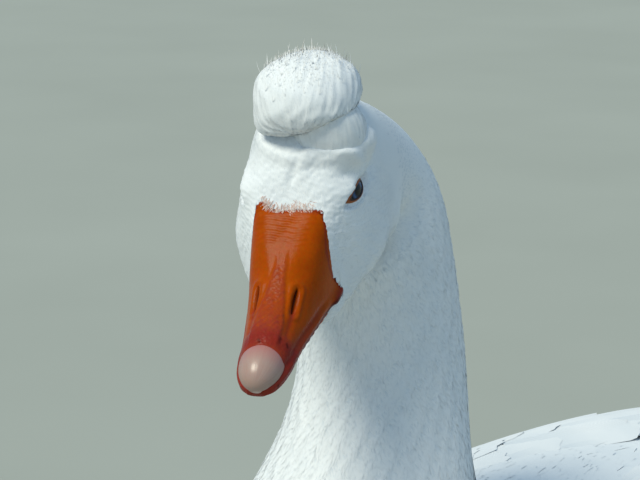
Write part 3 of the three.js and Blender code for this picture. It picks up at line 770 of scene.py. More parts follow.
def makeCamera():
    camera = bpy.data.objects.new("camera", bpy.data.cameras.new("camera"))
    camera.data.lens = view["lens"]
    camera.data.sensor_width = 36
    camera.data.clip_start = 0.02
    camera.data.clip_end = 60
    camera.rotation_euler = (math.pi / 2 - view["pitch"], 0, view["azimuth"])
    turnMatrix = camera.rotation_euler.to_matrix()
    right, up, back = (np.array(turnMatrix.col[k]) for k in range(3))
    eyesPoint = toScene(headToBird(head["eyeNode"][0], 0.0, head["eyeNode"][1]))
    offset = view["aimRight"] * right - view["aimDown"] * up + view["distance"] * back
    camera.location = eyesPoint + offset * mm
    bpy.context.scene.collection.objects.link(camera)
    bpy.context.scene.camera = camera


studio = {
    "sky": "#badfff", "skyStrength": 0.49,
    "key": "#fffce8", "keyStrength": 2.5, "keyWidth": math.radians(25),
    "keyFrom": (-0.1, -0.61, 0.79),  # from the bird towards the lamp
    "floor": ("#a3a69c", "#aeb1a7"), "floorHalf": 30.0,  # metres
}


def makeLight():
    # one soft distant lamp, high in front
    lamp = bpy.data.lights.new("key light", "SUN")
    lamp.energy, lamp.angle, lamp.color = studio["keyStrength"], studio["keyWidth"], linear(studio["key"])[:3]
    thing = bpy.data.objects.new("key light", lamp)
    x, y, z = studio["keyFrom"]
    thing.rotation_euler = (math.atan2(math.hypot(x, y), z), 0, math.atan2(x, -y))
    thing.location = (x, y, z)
    bpy.context.scene.collection.objects.link(thing)


def makeStage():
    world = bpy.data.worlds.new("studio")
    world.use_nodes = True
    background = world.node_tree.nodes["Background"]
    background.inputs[0].default_value = linear(studio["sky"])
    background.inputs[1].default_value = studio["skyStrength"]
    bpy.context.scene.world = world
    # painted plaster, trowelled: plain, pale and dull with broad faint clouds, so that the bird stands out
    material, shader = newMaterial("painted plaster floor", Roughness=0.9)
    place = addNode(material, "ShaderNodeTexCoord")
    mottle = addNode(material, "ShaderNodeTexNoise", {
        "Vector": place.outputs["Object"], "Scale": perMetre(333),
    })
    first, second = (linear(colour) for colour in studio["floor"])
    colour = addNode(material, "ShaderNodeMix", {
        0: mottle.outputs[0], 6: first, 7: second,
    }, data_type="RGBA")
    link(material, colour.outputs[2], shader.inputs["Base Color"])
    size = studio["floorHalf"]
    corners = np.array([[-size, -size, 0], [size, -size, 0], [size, size, 0], [-size, size, 0]])
    floor = meshFrom("floor", corners, np.array([[0, 1, 2], [0, 2, 3]]), [material], smooth=False)


makeCamera()
makeLight()
makeStage()
print("camera, light and floor ready")


def ballSurface(f, l, u, halfLength, halfWidth, halfHeight, rows, columns, lobes, roll, lean):
    # an egg in the head's frame; row 0 is its crown, the last row its base; columns run round it. Lobes are
    # directions forward, left and up, in which it swells by a share of its size, and how far that spreads.
    a = np.linspace(0.02, math.pi - 0.02, rows)[:, None]
    b = np.linspace(0, 2 * math.pi, columns, endpoint=False)[None]
    df, dl, du = np.sin(a) * np.cos(b), np.sin(a) * np.sin(b), np.cos(a) * np.ones_like(b)
    df, du = df * math.cos(lean) - du * math.sin(lean), df * math.sin(lean) + du * math.cos(lean)
    # below its middle the sides stay steep before they turn under, and it is shallower
    fuller = np.where(du < 0, np.maximum(1 - du ** 2, 0.02) ** -0.2, 1.0)
    df, dl = df * fuller, dl * fuller
    size = np.ones_like(du)
    for lf, ll, lu, amount, spread in lobes:
        toward = unit(np.array([lf, ll, lu]))
        close = df * toward[0] + dl * toward[1] + du * toward[2]
        size = size + amount * np.exp((close - 1) / spread)
    # uneven locks from base to crown
    ribs = np.sin(b * 31 + 1.2 * np.sin(a * 5 + b * 3))
    ribs = ribs + 0.8 * np.sin(b * 47 + 2.0 * np.sin(a * 3.1 + b * 5))
    lumps = np.sin(a * 7 + 2 * np.sin(b * 4)) * np.sin(b * 9 + 1.5 * np.sin(a * 6))
    size = size + (0.004 * ribs + 0.015 * lumps) * smoothStep(0.15, 0.5, a)
    rolled = halfHeight * size * np.where(du < 0, 0.64, 1) * du + roll * dl * np.maximum(-du, 0)
    return makeSurface(headToBird(f + halfLength * size * df, l + halfWidth * size * dl, u + rolled), True)


crest = {
    "f": -9.0, "l": 2.4, "u": 34.8, "halfLength": 20.0, "halfWidth": 20.4, "halfHeight": 15.2,
    "roll": 5.5,  # its underside rises towards the bird's left by this
    "lean": math.radians(46),  # the crown of its feathers lies this far back from its top
    "flank": (-3.4, 10.6, 23.4, 11.6, 14.2, 15.6),  # centre and half sizes of its swelling at the bird's left
    "flankLean": math.radians(15),
    "depth": 1.0, "coatDepth": 0.9,  # how deep the skin and the roots lie
    "coat": (0.46, 4.2, 0.95, 0.022),  # mm between roots, length and width, and the lift of a lock's end
    # mm between roots, length and width, how far they lean out, and how steep they may stand and still grow:
    # of the tips that make the top spiky, and of wisps
    "tips": (1.2, 2.8, 0.24, 0.5, 0.5), "wisps": (5.5, 5.5, 0.3, 0.35, 0.1),
    "bare": 14,  # rows next to the crown without roots, which the locks round them cover
    # forward, left and up of the heights over which the locks grow, and of the way in which the tips point
    "above": (-9.0, 0.0, 12.0), "flankAbove": (-6.0, 0.0, 15.0), "tipsPoint": (-0.25, 0.0, 1.0),
    "tipsStray": 0.22,
    "lobes": [
        (0.2, -0.8, 0.62, 0.06, 0.07), (-0.2, 0.78, 0.62, 0.06, 0.07), (0.1, -0.15, 1.0, 0.1, 0.022),
        (-0.1, 0.52, 0.85, 0.05, 0.015), (0.1, -0.7, 0.8, 0.04, 0.02),
        (-0.1, 0.45, 1.0, 0.02, 0.04), (0.54, -0.72, -0.44, 0.1, 0.09), (0.8, -0.4, 0.1, 0.02, 0.05),
        (0.6, 0.6, -0.5, -0.04, 0.06), (-0.1, 0.9, -0.1, -0.03, 0.1), (-0.8, 0.1, 0.5, 0.05, 0.1),
    ],
}


def crestSurface(depth, rows, columns):
    sizes = (crest[key] - depth for key in ("halfLength", "halfWidth", "halfHeight"))
    return ballSurface(crest["f"], crest["l"], crest["u"], *sizes, rows, columns, crest["lobes"],
                       crest["roll"], crest["lean"])


def flankSurface(depth, rows, columns):
    sizes = [value - depth for value in crest["flank"][3:]]
    return ballSurface(*crest["flank"][:3], *sizes, rows, columns, [], 0.0, crest["flankLean"])


wingStations = [
    # y, z, half width and height of the bed, upper and lower edge in degrees from the top, thickness
    (268, 277, 16, 22, 8, 62, 3), (236, 268, 34, 33, 9, 72, 6), (196, 249, 53, 51, 12, 84, 8),
    (140, 232, 80, 76, 14, 91, 11), (80, 219, 97, 95, 18, 96, 13), (10, 213, 105, 104, 25, 101, 14),
    (-50, 214, 104.5, 101, 34, 104, 14), (-100, 222, 97, 92, 46, 103, 12), (-138, 233, 86, 78, 60, 98, 7),
]
wing = {
    "rows": 241, "columns": 101, "edge": 0.9,
    "coat": 0.55,  # share of the thickness that is feathers
    "quillFrom": 80, "vanedFrom": 30,  # from these lengths on a feather has a shaft, and shows its barbs
}
tailStations = [
    # y, z, half width, half thickness
    (322, 290, 30, 0.8), (314, 289, 43, 1.4), (296, 286, 51, 2.6), (268, 280, 50, 6), (240, 270, 44, 13),
    (222.6, 262, 39, 19),
]
tail = {
    "rows": 91, "columns": 61, "fan": 84,  # degrees to each side of its top
    "coatShare": 0.3, "coatMost": 3,  # depth of its feathers: a share of its thickness, and at most this
    "quills": 9, "quillRow": 0.78, "quillSpan": (0.12, 0.88),
    "quillLength": 88, "quillShorter": 60, "quillWidth": 19.0,  # the outer ones are shorter
    "covertRows": 5, "covertsInRow": 7, "covertLength": 40.0, "covertWidth": 20.0,
}
thigh = {
    # x, y, z, half width, half depth
    "stations": [(60, 57, 161, 26, 36), (60, 55, 131, 23, 32), (53, 52, 114, 16, 20), (51, 50, 97, 9.5, 11)],
    "coat": 3.0, "rows": 80, "columns": 120,
    "spacing": 4.6, "length": 15.0, "width": 8.5, "lift": 0.16,
}


def wingPoints(t, share, out):
    # out is the share of the thickness at which the points lie
    y, z, wide, high, start, end, thick = np.moveaxis(alongStations(wingStations, t), -1, 0)
    angle = np.radians(start + (end - start) * share)
    thickness = wing["edge"] + (thick - wing["edge"]) * np.sin(np.pi * np.clip(share, 0, 1)) ** 0.6
    reach = out * thickness
    return np.stack([(wide + reach) * np.sin(angle), y, z + (high + reach) * np.cos(angle)], -1)


def wingSurface(side):
    t = np.linspace(0, len(wingStations) - 1, wing["rows"])[:, None]
    share = np.linspace(0, 1, wing["columns"])[None]
    t, share = np.broadcast_arrays(t, share)
    points = wingPoints(t, share, 1 - wing["coat"]) * np.array([side, 1, 1])
    return makeSurface(points, False, flip=side < 0)


def tailSurface(top):
    # row 0 is the tip, columns run across the fan from the bird's right to its left
    t = np.linspace(0, len(tailStations) - 1, tail["rows"])[:, None]
    a = np.radians(np.linspace(-tail["fan"], tail["fan"], tail["columns"]))[None]
    y, z, wide, thick = np.moveaxis(alongStations(tailStations, t * np.ones_like(a)), -1, 0)
    thick = thick - np.minimum(tail["coatShare"] * thick, tail["coatMost"])
    z = z + (thick if top else -thick) * np.cos(a)
    return makeSurface(np.stack([wide * np.sin(a), y, z], -1), False, flip=not top)


def limbSurface(stations, rows, columns, up=(0, -1, 0), grow=0.0):
    # a round limb along a smooth path; each station is x, y, z, half width, half depth, and row 0 its first
    t = np.linspace(0, len(stations) - 1, rows)
    values = alongStations(stations, t)
    path = values[:, :3]
    forward = unit(np.gradient(path, axis=0))
    across = unit(np.cross(np.array(up, float), forward))
    over = np.cross(forward, across)
    a = np.arange(columns) * 2 * math.pi / columns
    wide, deep = values[:, 3, None] + grow, values[:, 4, None] + grow
    points = path[:, None] + across[:, None] * (wide * np.sin(a))[..., None] \
        + over[:, None] * (deep * np.cos(a))[..., None]
    return makeSurface(points, True)


def mirror(points):
    return points * np.array([-1, 1, 1])


def makeSkin():
    # goose skin under the plumage, with pores 2.5 mm apart: pale, matte, only glimpsed between feathers
    material, shader = newMaterial("goose skin under down", Roughness=0.8)
    place = addNode(material, "ShaderNodeTexCoord")
    mottle = addNode(material, "ShaderNodeTexNoise", {
        "Vector": place.outputs["Object"], "Scale": perMetre(2.5),
    })
    colour = addNode(material, "ShaderNodeMix", {
        0: mottle.outputs[0], 6: linear("#dfe3e6"), 7: linear("#eef0f1"),
    }, data_type="RGBA")
    link(material, colour.outputs[2], shader.inputs["Base Color"])
    # one ring in six of the trunk and neck, one in three of the head
    rows = np.concatenate([np.arange(0, 960, 6), np.arange(960, 1311, 3)])
    shells = [closedLoft(body["skin"][rows][:, ::4])]
    shells.append(closedLoft(crestSurface(crest["depth"], 60, 90)["points"]))
    shells.append(closedLoft(flankSurface(crest["depth"], 40, 60)["points"]))
    t, share = np.meshgrid(np.linspace(0, len(wingStations) - 1, 81), np.linspace(0, 1, 31), indexing="ij")
    outer, inner = wingPoints(t, share, 1 - wing["coat"]), wingPoints(t, share, 0.0)
    ring = np.concatenate([outer, inner[:, ::-1]], 1)
    shells += [closedLoft(ring), closedLoft(mirror(ring)[:, ::-1])]
    over, under = tailSurface(True)["points"][::3, ::3], tailSurface(False)["points"][::3, ::-3]
    shells.append(closedLoft(np.concatenate([over, under], 1)))
    thighSkin = limbSurface(thigh["stations"], 30, 36, grow=-thigh["coat"])["points"]
    shells += [closedLoft(thighSkin), closedLoft(mirror(thighSkin)[:, ::-1])]
    points, triangles = joinShells(shells)
    skin = meshFrom("skin", toScene(points), triangles, [material])
    show(skin, "plumage", "head", "neck_upper", "neck_lower", "trunk", "tuft", "tail",
         "wing_left", "wing_right", "thigh_left", "thigh_right")


makeSkin()
print("skin ready")


def makeEyes():
    # wet cornea over a dark grey-blue iris: a clear coat gives the small sharp highlight. The colours run
    # from the middle of the pupil outward, past the iris to the brown skin inside the lids.
    material, shader = newMaterial("goose eyeball", Roughness=0.25, IOR=1.376, Coat_Weight=0.4,
                                   Coat_Roughness=0.03, Coat_IOR=1.376, Specular_IOR_Level=0.2)
    place = addNode(material, "ShaderNodeUVMap", uv_map="vane")
    apart = addNode(material, "ShaderNodeSeparateXYZ", {"Vector": place.outputs[0]})
    streaks = addNode(material, "ShaderNodeTexNoise", {
        "Vector": place.outputs[0], "Scale": 48 / 1.2,  # millimetres round the ball, by the width of a fleck
    })
    bands = addNode(material, "ShaderNodeValToRGB", {"Fac": apart.outputs[1]}, stops=[
        (0.0, "#030305"), (0.085, "#050609"), (0.1, "#1c2a40"), (0.135, "#3f5f8c"), (0.16, "#233450"),
        (0.18, "#0c0908"), (0.215, "#1c0f0a"), (0.25, "#6a3818"), (0.4, "#5a2c14"),
    ])
    colour = addNode(material, "ShaderNodeMix", {
        0: 0.35, 6: bands.outputs[0], 7: streaks.outputs[1],
    }, data_type="RGBA", blend_type="SOFT_LIGHT")
    link(material, colour.outputs[2], shader.inputs["Base Color"])
    rows, columns = 90, 96
    a = np.linspace(0, math.pi, rows)[:, None]
    b = np.linspace(0, 2 * math.pi, columns)[None]
    for side, name in ((1, "left"), (-1, "right")):
        df = eye["long"] * np.sin(a) * np.cos(b)
        du = eye["high"] * np.sin(a) * np.sin(b)
        dl = eye["deep"] * np.cos(a) * np.ones_like(b) - eye["slopeF"] * df - eye["slopeU"] * du
        points = headToBird(eye["f"] + df, side * (eye["l"] + dl), eye["u"] + du).reshape(-1, 3)
        triangles = gridTriangles(rows, columns, False)
        if side < 0:
            triangles = triangles[:, ::-1]
        ball = meshFrom("eyeball_" + name, toScene(points), triangles, [material])
        uv = np.stack(np.broadcast_arrays(b / (2 * math.pi), a / math.pi), -1).reshape(-1, 2)
        addUv(ball, "vane", uv)
        show(ball, "eye", "eye_" + name)


lid = {
    # places across a lid, as shares of the opening: its inner edge, the top of its lip, where it leaves the
    # eyeball, where it is down on the skin, and its outer edge, which sinks under the feathers
    "inner": 0.82, "lip": 1.12, "offBall": 1.3, "onSkin": 1.75, "sinks": 1.85, "outer": 2.3,
    "columns": 120,
}


def makeLids():
    # bare eye-ring, soft skin: orange-brown, moist and darker along its edge, fading to the white of the down
    material, shader = newMaterial("goose eye-ring skin", Roughness=0.42, IOR=1.45)
    place = addNode(material, "ShaderNodeUVMap", uv_map="vane")
    apart = addNode(material, "ShaderNodeSeparateXYZ", {"Vector": place.outputs[0]})
    grain = addNode(material, "ShaderNodeTexCoord")
    noise = addNode(material, "ShaderNodeTexNoise", {
        "Vector": grain.outputs["Object"], "Scale": perMetre(0.91),
    })
    bands = addNode(material, "ShaderNodeValToRGB", {"Fac": apart.outputs[1]}, stops=[
        (0.0, "#1c0c08"), (0.13, "#3a1a10"), (0.2, "#9c5022"), (0.29, "#a25a2c"), (0.36, "#b98a68"),
        (0.44, "#d9dfe3"), (1.0, "#e4e8ea"),
    ])
    colour = addNode(material, "ShaderNodeMix", {
        0: 0.4, 6: bands.outputs[0], 7: noise.outputs[1],
    }, data_type="RGBA", blend_type="SOFT_LIGHT")
    link(material, colour.outputs[2], shader.inputs["Base Color"])
    bump = addNode(material, "ShaderNodeBump", {
        "Strength": 0.4, "Distance": 0.2 * mm, "Height": noise.outputs[0],
    })
    link(material, bump.outputs[0], shader.inputs["Normal"])
    columns, lip, rim = lid["columns"], lid["lip"], eye["rim"]
    measures = np.concatenate([
        np.linspace(lid["inner"], 1.0, 7), np.linspace(1.04, 1.45, 9), np.linspace(1.55, lid["outer"], 10),
    ])
    m, a = np.meshgrid(measures, np.arange(columns) * 2 * math.pi / columns, indexing="ij")
    c, s = np.cos(a), np.sin(a)
    square, halfLength, halfHeight = eye["openSquare"], eye["openLength"] / 2, eye["openHeight"] / 2
    edge = ((np.abs(c) / halfLength) ** square + (np.abs(s) / halfHeight) ** square) ** (-1 / square)
    along, across = m * edge * c, m * edge * s
    cosT, sinT = math.cos(eye["tilt"]), math.sin(eye["tilt"])
    f = eye["f"] - along * cosT + across * sinT
    u = eye["u"] + along * sinT + across * cosT
    roll = np.sqrt(np.clip(1 - ((lip - m) / 0.3) ** 2, 0, 1))
    outside = rim * (1.5 - 0.9 * smoothStep(lip, 1.5, m)) - 0.25
    onBall = ballHeight(f, u, 0.0) + np.where(m < lip, rim * 1.5 * roll - 0.25, outside)
    share = smoothStep(lid["offBall"], lid["onSkin"], m)
    for side, name in ((1, "left"), (-1, "right")):
        onSkin = skinLevelAt(f, u, side) + 0.12 - 0.5 * smoothStep(lid["sinks"], lid["outer"], m)
        points = headToBird(f, side * (onBall * (1 - share) + onSkin * share), u)
        triangles = gridTriangles(len(measures), columns, True)
        if side > 0:
            triangles = triangles[:, ::-1]
        ring = meshFrom("eyelids_" + name, toScene(points.reshape(-1, 3)), triangles, [material])
        outward = (m - lid["inner"]) / (lid["outer"] - lid["inner"])
        addUv(ring, "vane", np.stack([a / (2 * math.pi), outward], -1).reshape(-1, 2))
        show(ring, "plumage")


headSide = {}  # kept from one call to the next


def skinLevelAt(f, u, side):
    # how far left or right the skin of the head stands at f, u, found from the body's surface
    if side not in headSide:
        columns = slice(60, 260) if side > 0 else slice(380, 580)  # those on that side of the head
        hf, hl, hu = birdToHead(body["points"][1080:1290, columns])
        near = (np.abs(hf - eye["f"]) < 16) & (np.abs(hu - eye["u"]) < 14)
        headSide[side] = (hf[near][::3], hu[near][::3], np.abs(hl[near])[::3])
    hf, hu, hl = headSide[side]
    out = np.empty(f.shape)
    for k, (pf, pu) in enumerate(zip(f.ravel(), u.ravel())):
        d = (hf - pf) ** 2 + (hu - pu) ** 2
        weight = np.exp(-d / 0.25) + 1e-12 / (d + 0.01)
        out.flat[k] = (weight * hl).sum() / weight.sum()
    return out


makeEyes()
makeLids()
print("eyes and lids ready")


def evenRings(rings, columns):
    # the same closed rings with their points an even distance apart
    out = np.empty((len(rings), columns, 3))
    for k, ring in enumerate(rings):
        loop = np.concatenate([ring, ring[:1]])
        far = np.concatenate([[0], np.cumsum(np.linalg.norm(np.diff(loop, axis=0), axis=1))])
        target = np.arange(columns) / columns * far[-1]
        for axis in range(3):
            out[k, :, axis] = np.interp(target, far, loop[:, axis])
    return out


def billRings(lower):
    count = len(billStations) - (2 if lower else 1)
    values = alongStations(billStations, np.linspace(0, count, bill["rows"]))
    along, high, wide, square = (values[:, k, None] for k in range(4))
    length = bill["lowerLength"] if lower else bill["length"]
    f = bill["rootF"] + bill["edgeForward"] + (length - 2) * along
    u = bill["rootU"] - bill["rootHeight"] - bill["tipDrop"] * along ** 2
    half, above, below = bill["rootHalfWidth"] * wide, bill["rootHeight"] * high, 0.8
    if lower:
        u, half, above, below = u - 1.8, half * 0.88, 0.3, bill["lowerDepth"] * (1 - 0.55 * along)
        square = 2.2
    lean = bill["rootLean"] * (1 - along)
    size = np.sqrt(1 + lean ** 2)
    a = np.linspace(0, 2 * math.pi, 1800, endpoint=False)[None]
    rise = bulge(np.cos(a), square)
    side = half * bulge(np.sin(a), square) * (1 - bill["taper"] * (1 - along) * np.maximum(rise, 0))
    rise = np.where(rise > 0, above, below) * rise
    rings = np.stack([f - lean / size * rise, side, u + rise / size], -1)
    return evenRings(rings, bill["columns"])


def underFeathers():
    # rings of bill skin on the head behind the bill's root, hidden where plumage lies on them
    t, phi = np.meshgrid(np.linspace(20.45, 20.98, 22), np.linspace(0, 2 * math.pi, 1800, endpoint=False),
                         indexing="ij")
    outline = bodyPoints(t, phi)[0]
    f, l, u = birdToHead(outline)
    sunk = 2.4 - 2.1 * smoothStep(-0.5, 0.6, pastFeathers(f, l, u))
    inner = outline - makeSurface(outline, True)["normals"] * sunk[..., None]
    f, l, u = birdToHead(inner)
    lowest = bill["rootU"] - bill["rootHeight"] - 0.8
    return evenRings(np.stack([f, l, np.maximum(u, lowest)], -1), bill["columns"])


def awayFrom(p, start, end):
    # distance from a line between two points, and how far along it
    start, end = np.array(start), np.array(end)
    line = end - start
    share = np.clip(((p - start) @ line) / (line @ line), 0, 1)
    return np.linalg.norm(p - start - share[..., None] * line, axis=-1), share


def ripple(x, seed):
    # a smooth wandering value of about one, made of a few sines
    rng = np.random.default_rng(seed)
    total = np.zeros_like(x)
    for k in range(4):
        total = total + np.sin(x * rng.uniform(0.2, 1.1) * (k + 1) * 0.7 + rng.uniform(0, 6.28)) / (k + 1)
    return total * 0.55


def mirrored(ends, side):
    return [np.array(p) * np.array([1, side, 1]) for p in ends]


def billUpper():
    grid = np.concatenate([underFeathers(), billRings(False)])
    f, l, u = grid[..., 0], grid[..., 1], grid[..., 2]
    up = makeSurface(grid, True)["normals"]
    past = pastFeathers(f, l, u)
    pushed, slit, gape, streakTint, marks = np.zeros((5, *f.shape))
    for side in (1, -1):
        ends = mirrored(bill["nostril"], side)
        away, share = awayFrom(grid, *ends)
        wide = bill["nostrilWide"] * (0.6 + 0.8 * np.sin(np.pi * share))
        slit = np.maximum(slit, hill(away, wide))
        pushed += bill["rim"] * hill(away - 2.3, 1.1)
        ahead, behind = mirrored((bill["hollowRuns"], bill["dipBehind"]), side)
        away, share = awayFrom(grid, ends[1], ends[1] + ahead)
        pushed -= bill["hollow"] * hill(away, 1.5)
        away, share = awayFrom(grid, ends[0] + behind, ends[1])
        pushed -= bill["dip"] * hill(away, 4.0)
        away, share = awayFrom(grid, *mirrored(bill["gape"], side))
        gape = np.maximum(gape, hill(away, 2.4))
        away, share = awayFrom(grid, *mirrored(bill["streak"], side))
        streakTint = np.maximum(streakTint, hill(away, 1.4 - 0.7 * share) * (1 - 0.6 * share))
    pushed -= bill["nostrilDeep"] * slit
    # the culmen's raised plate, from the middle of the bill to the nail
    plateHalf = 1.9 + 3.4 * smoothStep(38, 64, f)
    plate = smoothStep(33, 43, f) * (1 - smoothStep(66, 72, f)) * smoothStep(0.1, 0.5, up[..., 2])
    offMiddle = np.abs(l + 0.4 * ripple(f * 0.5, 3))
    plate = plate * (1 - smoothStep(plateHalf - 0.6, plateHalf + 0.9, offMiddle))
    rough = ripple(f * 1.9 + 3 * ripple(l, 8), 9) * ripple(l * 2.3 + f, 10)
    pushed += bill["plate"] * plate
    pushed += bill["plateRough"] * plate * rough
    # wrinkles across the root
    line = f + 0.45 * ripple(l * 0.6, 4) + 0.01 * l ** 2
    strength = smoothStep(1.0, 3.0, past) * (1 - smoothStep(30, 36, f)) * smoothStep(0.2, 0.7, up[..., 2])
    strength = strength * (1 - smoothStep(8, 13, np.abs(l + 1))) * (0.6 + 0.4 * ripple(l * 0.9 + f * 0.7, 14))
    pushed += bill["wrinkleHigh"] * strength * np.sin(line * 2 * math.pi / bill["wrinkle"])
    # the thick edge of the mouth, the groove above it, and the corner of the gape
    edgeFrom, edgeLong = bill["rootF"] + bill["edgeForward"], bill["length"] - 2
    edgeU = bill["rootU"] - bill["rootHeight"] - bill["tipDrop"] * ((f - edgeFrom) / edgeLong) ** 2
    overEdge = u - edgeU
    pushed += bill["edge"] * hill(overEdge - bill["edgeOver"], 1.3) * smoothStep(30, 44, f)
    pushed -= bill["groove"] * hill(overEdge - bill["grooveOver"], 1.2) * smoothStep(30, 44, f)
    pushed += bill["gapeHigh"] * gape
    pushed += bill["uneven"] * ripple(f * 1.1 + 2 * ripple(l * 0.8 + u, 5), 6)
    finished = grid + up * pushed[..., None]
    # where each tint lies, kept with the points
    nailBand = hill(f - 67.5, 4.5) * smoothStep(-4, 2, up[..., 2] * 10)
    pinkSide = 0.6 * smoothStep(36, 58, f) * (1 - smoothStep(2.5, 8, overEdge))
    pink = np.clip(0.8 * plate * (0.6 + 0.6 * rough) + 0.75 * smoothStep(55, 74, f) + pinkSide, 0, 1)
    redder = 0.9 * nailBand * smoothStep(60, 67, f) + 0.95 * gape
    inGroove = hill(overEdge - bill["grooveOver"], 1.4) * smoothStep(32, 50, f)
    redder = redder + 0.5 * inGroove + 0.75 * hill(past - 0.3, 0.8)
    redder = np.clip(np.clip(redder, 0, 1) + 0.75 * streakTint, 0, 1)
    # painted shade: a dark line along the mouth's edge, where the lower bill lies in shadow under the upper
    mouthLineShade = smoothStep(1.3, 0.3, overEdge) * smoothStep(25, 28, f) * (1 - smoothStep(54, 62, f))
    for start, end in bill["marks"]:
        away, share = awayFrom(grid, start, end)
        marks = np.maximum(marks, hill(away, 0.55))
    # dark: the nostrils, painted shade of their openings; the mouth line, painted shade; and the real stains
    # near the nail
    dark = np.clip(0.95 * slit + 0.9 * mouthLineShade + 0.85 * marks, 0, 1)
    return finished, np.stack([pink, redder, dark, np.ones_like(dark)], -1)


def billLower():
    grid = billRings(True)
    f, u = grid[..., 0], grid[..., 2]
    pushed = 0.25 * np.sin(f * 1.6) * hill(u + 31, 1.2)  # the comb of small ridges along its edge
    finished = grid + makeSurface(grid, True)["normals"] * pushed[..., None]
    pink = 0.75 * smoothStep(36, 60, f) + 0.2
    redder = hill(f - 27, 5) * 0.7
    # painted shade: darker along its top edge, the mouth line where it lies under the upper bill
    dark = hill(u + 29, 0.8) * 0.6
    return finished, np.stack([np.clip(pink, 0, 1), redder, dark, np.ones_like(dark)], -1)


def billMaterial():
    # bill sheath: thin waxy skin over bone, orange, satin, with pink where blood shows through. Its points
    # keep three tints: red for pink, green for redder, blue for dark, which is real stains and painted shade.
    material, shader = newMaterial("goose bill sheath", Roughness=0.25, IOR=1.45, Specular_IOR_Level=0.07,
                                   Subsurface_Weight=0.04, Subsurface_Scale=0.0015)
    shader.inputs["Subsurface Radius"].default_value = (1.0, 0.35, 0.15)
    place = addNode(material, "ShaderNodeTexCoord")
    tint = addNode(material, "ShaderNodeVertexColor", layer_name="tint")
    parts = addNode(material, "ShaderNodeSeparateColor", {"Color": tint.outputs[0]})
    broad = addNode(material, "ShaderNodeTexNoise", {
        "Vector": place.outputs["Object"], "Scale": perMetre(11.1), "Detail": 3.0,
    })
    fine = addNode(material, "ShaderNodeTexNoise", {
        "Vector": place.outputs["Object"], "Scale": perMetre(1.43), "Detail": 3.0,
    })
    colour = addNode(material, "ShaderNodeMix", {
        0: broad.outputs[0], 6: linear("#b85000"), 7: linear("#983a00"),
    }, data_type="RGBA")
    for share, blend, over in ((parts.outputs[0], "MIX", linear("#903528")),
                               (parts.outputs[1], "MIX", linear("#8a2a20")),
                               (0.3, "SOFT_LIGHT", fine.outputs[1]),
                               # the blue tint darkens it: stains near the nail, and painted shade in the
                               # nostrils and along the mouth line
                               (parts.outputs[2], "MIX", linear("#4a0e08"))):
        colour = addNode(material, "ShaderNodeMix", {
            0: share, 6: colour.outputs[2], 7: over,
        }, data_type="RGBA", blend_type=blend)
    link(material, colour.outputs[2], shader.inputs["Base Color"])
    pits = addNode(material, "ShaderNodeTexVoronoi", {
        "Vector": place.outputs["Object"], "Scale": perMetre(1.11),
    })
    rougher = addNode(material, "ShaderNodeMapRange", {
        "Value": parts.outputs[0], "To Min": 0.08, "To Max": 0.45,
    })
    bump = addNode(material, "ShaderNodeBump", {
        "Strength": rougher.outputs[0], "Distance": 0.3 * mm, "Height": pits.outputs[0],
    })
    bump = addNode(material, "ShaderNodeBump", {
        "Strength": 0.16, "Distance": 0.4 * mm, "Height": fine.outputs[0], "Normal": bump.outputs[0],
    })
    link(material, bump.outputs[0], shader.inputs["Normal"])
    return material


def addTint(thing, values):
    layer = thing.data.color_attributes.new("tint", "FLOAT_COLOR", "POINT")
    layer.data.foreach_set("color", np.ascontiguousarray(values, np.float32).ravel())


def makeBill():
    material = billMaterial()
    for name, made, node in (("bill_upper_sheath", billUpper(), "bill_upper"),
                             ("bill_lower_sheath", billLower(), "bill_lower")):
        grid, tint = made
        flat, triangles = closedLoft(headToBird(*np.moveaxis(grid, -1, 0)))
        thing = meshFrom(name, toScene(flat), triangles, [material])
        ends = np.stack([tint[0].mean(0), tint[-1].mean(0)])
        addTint(thing, np.concatenate([tint.reshape(-1, 4), ends]))
        show(thing, "bill_horn", node)


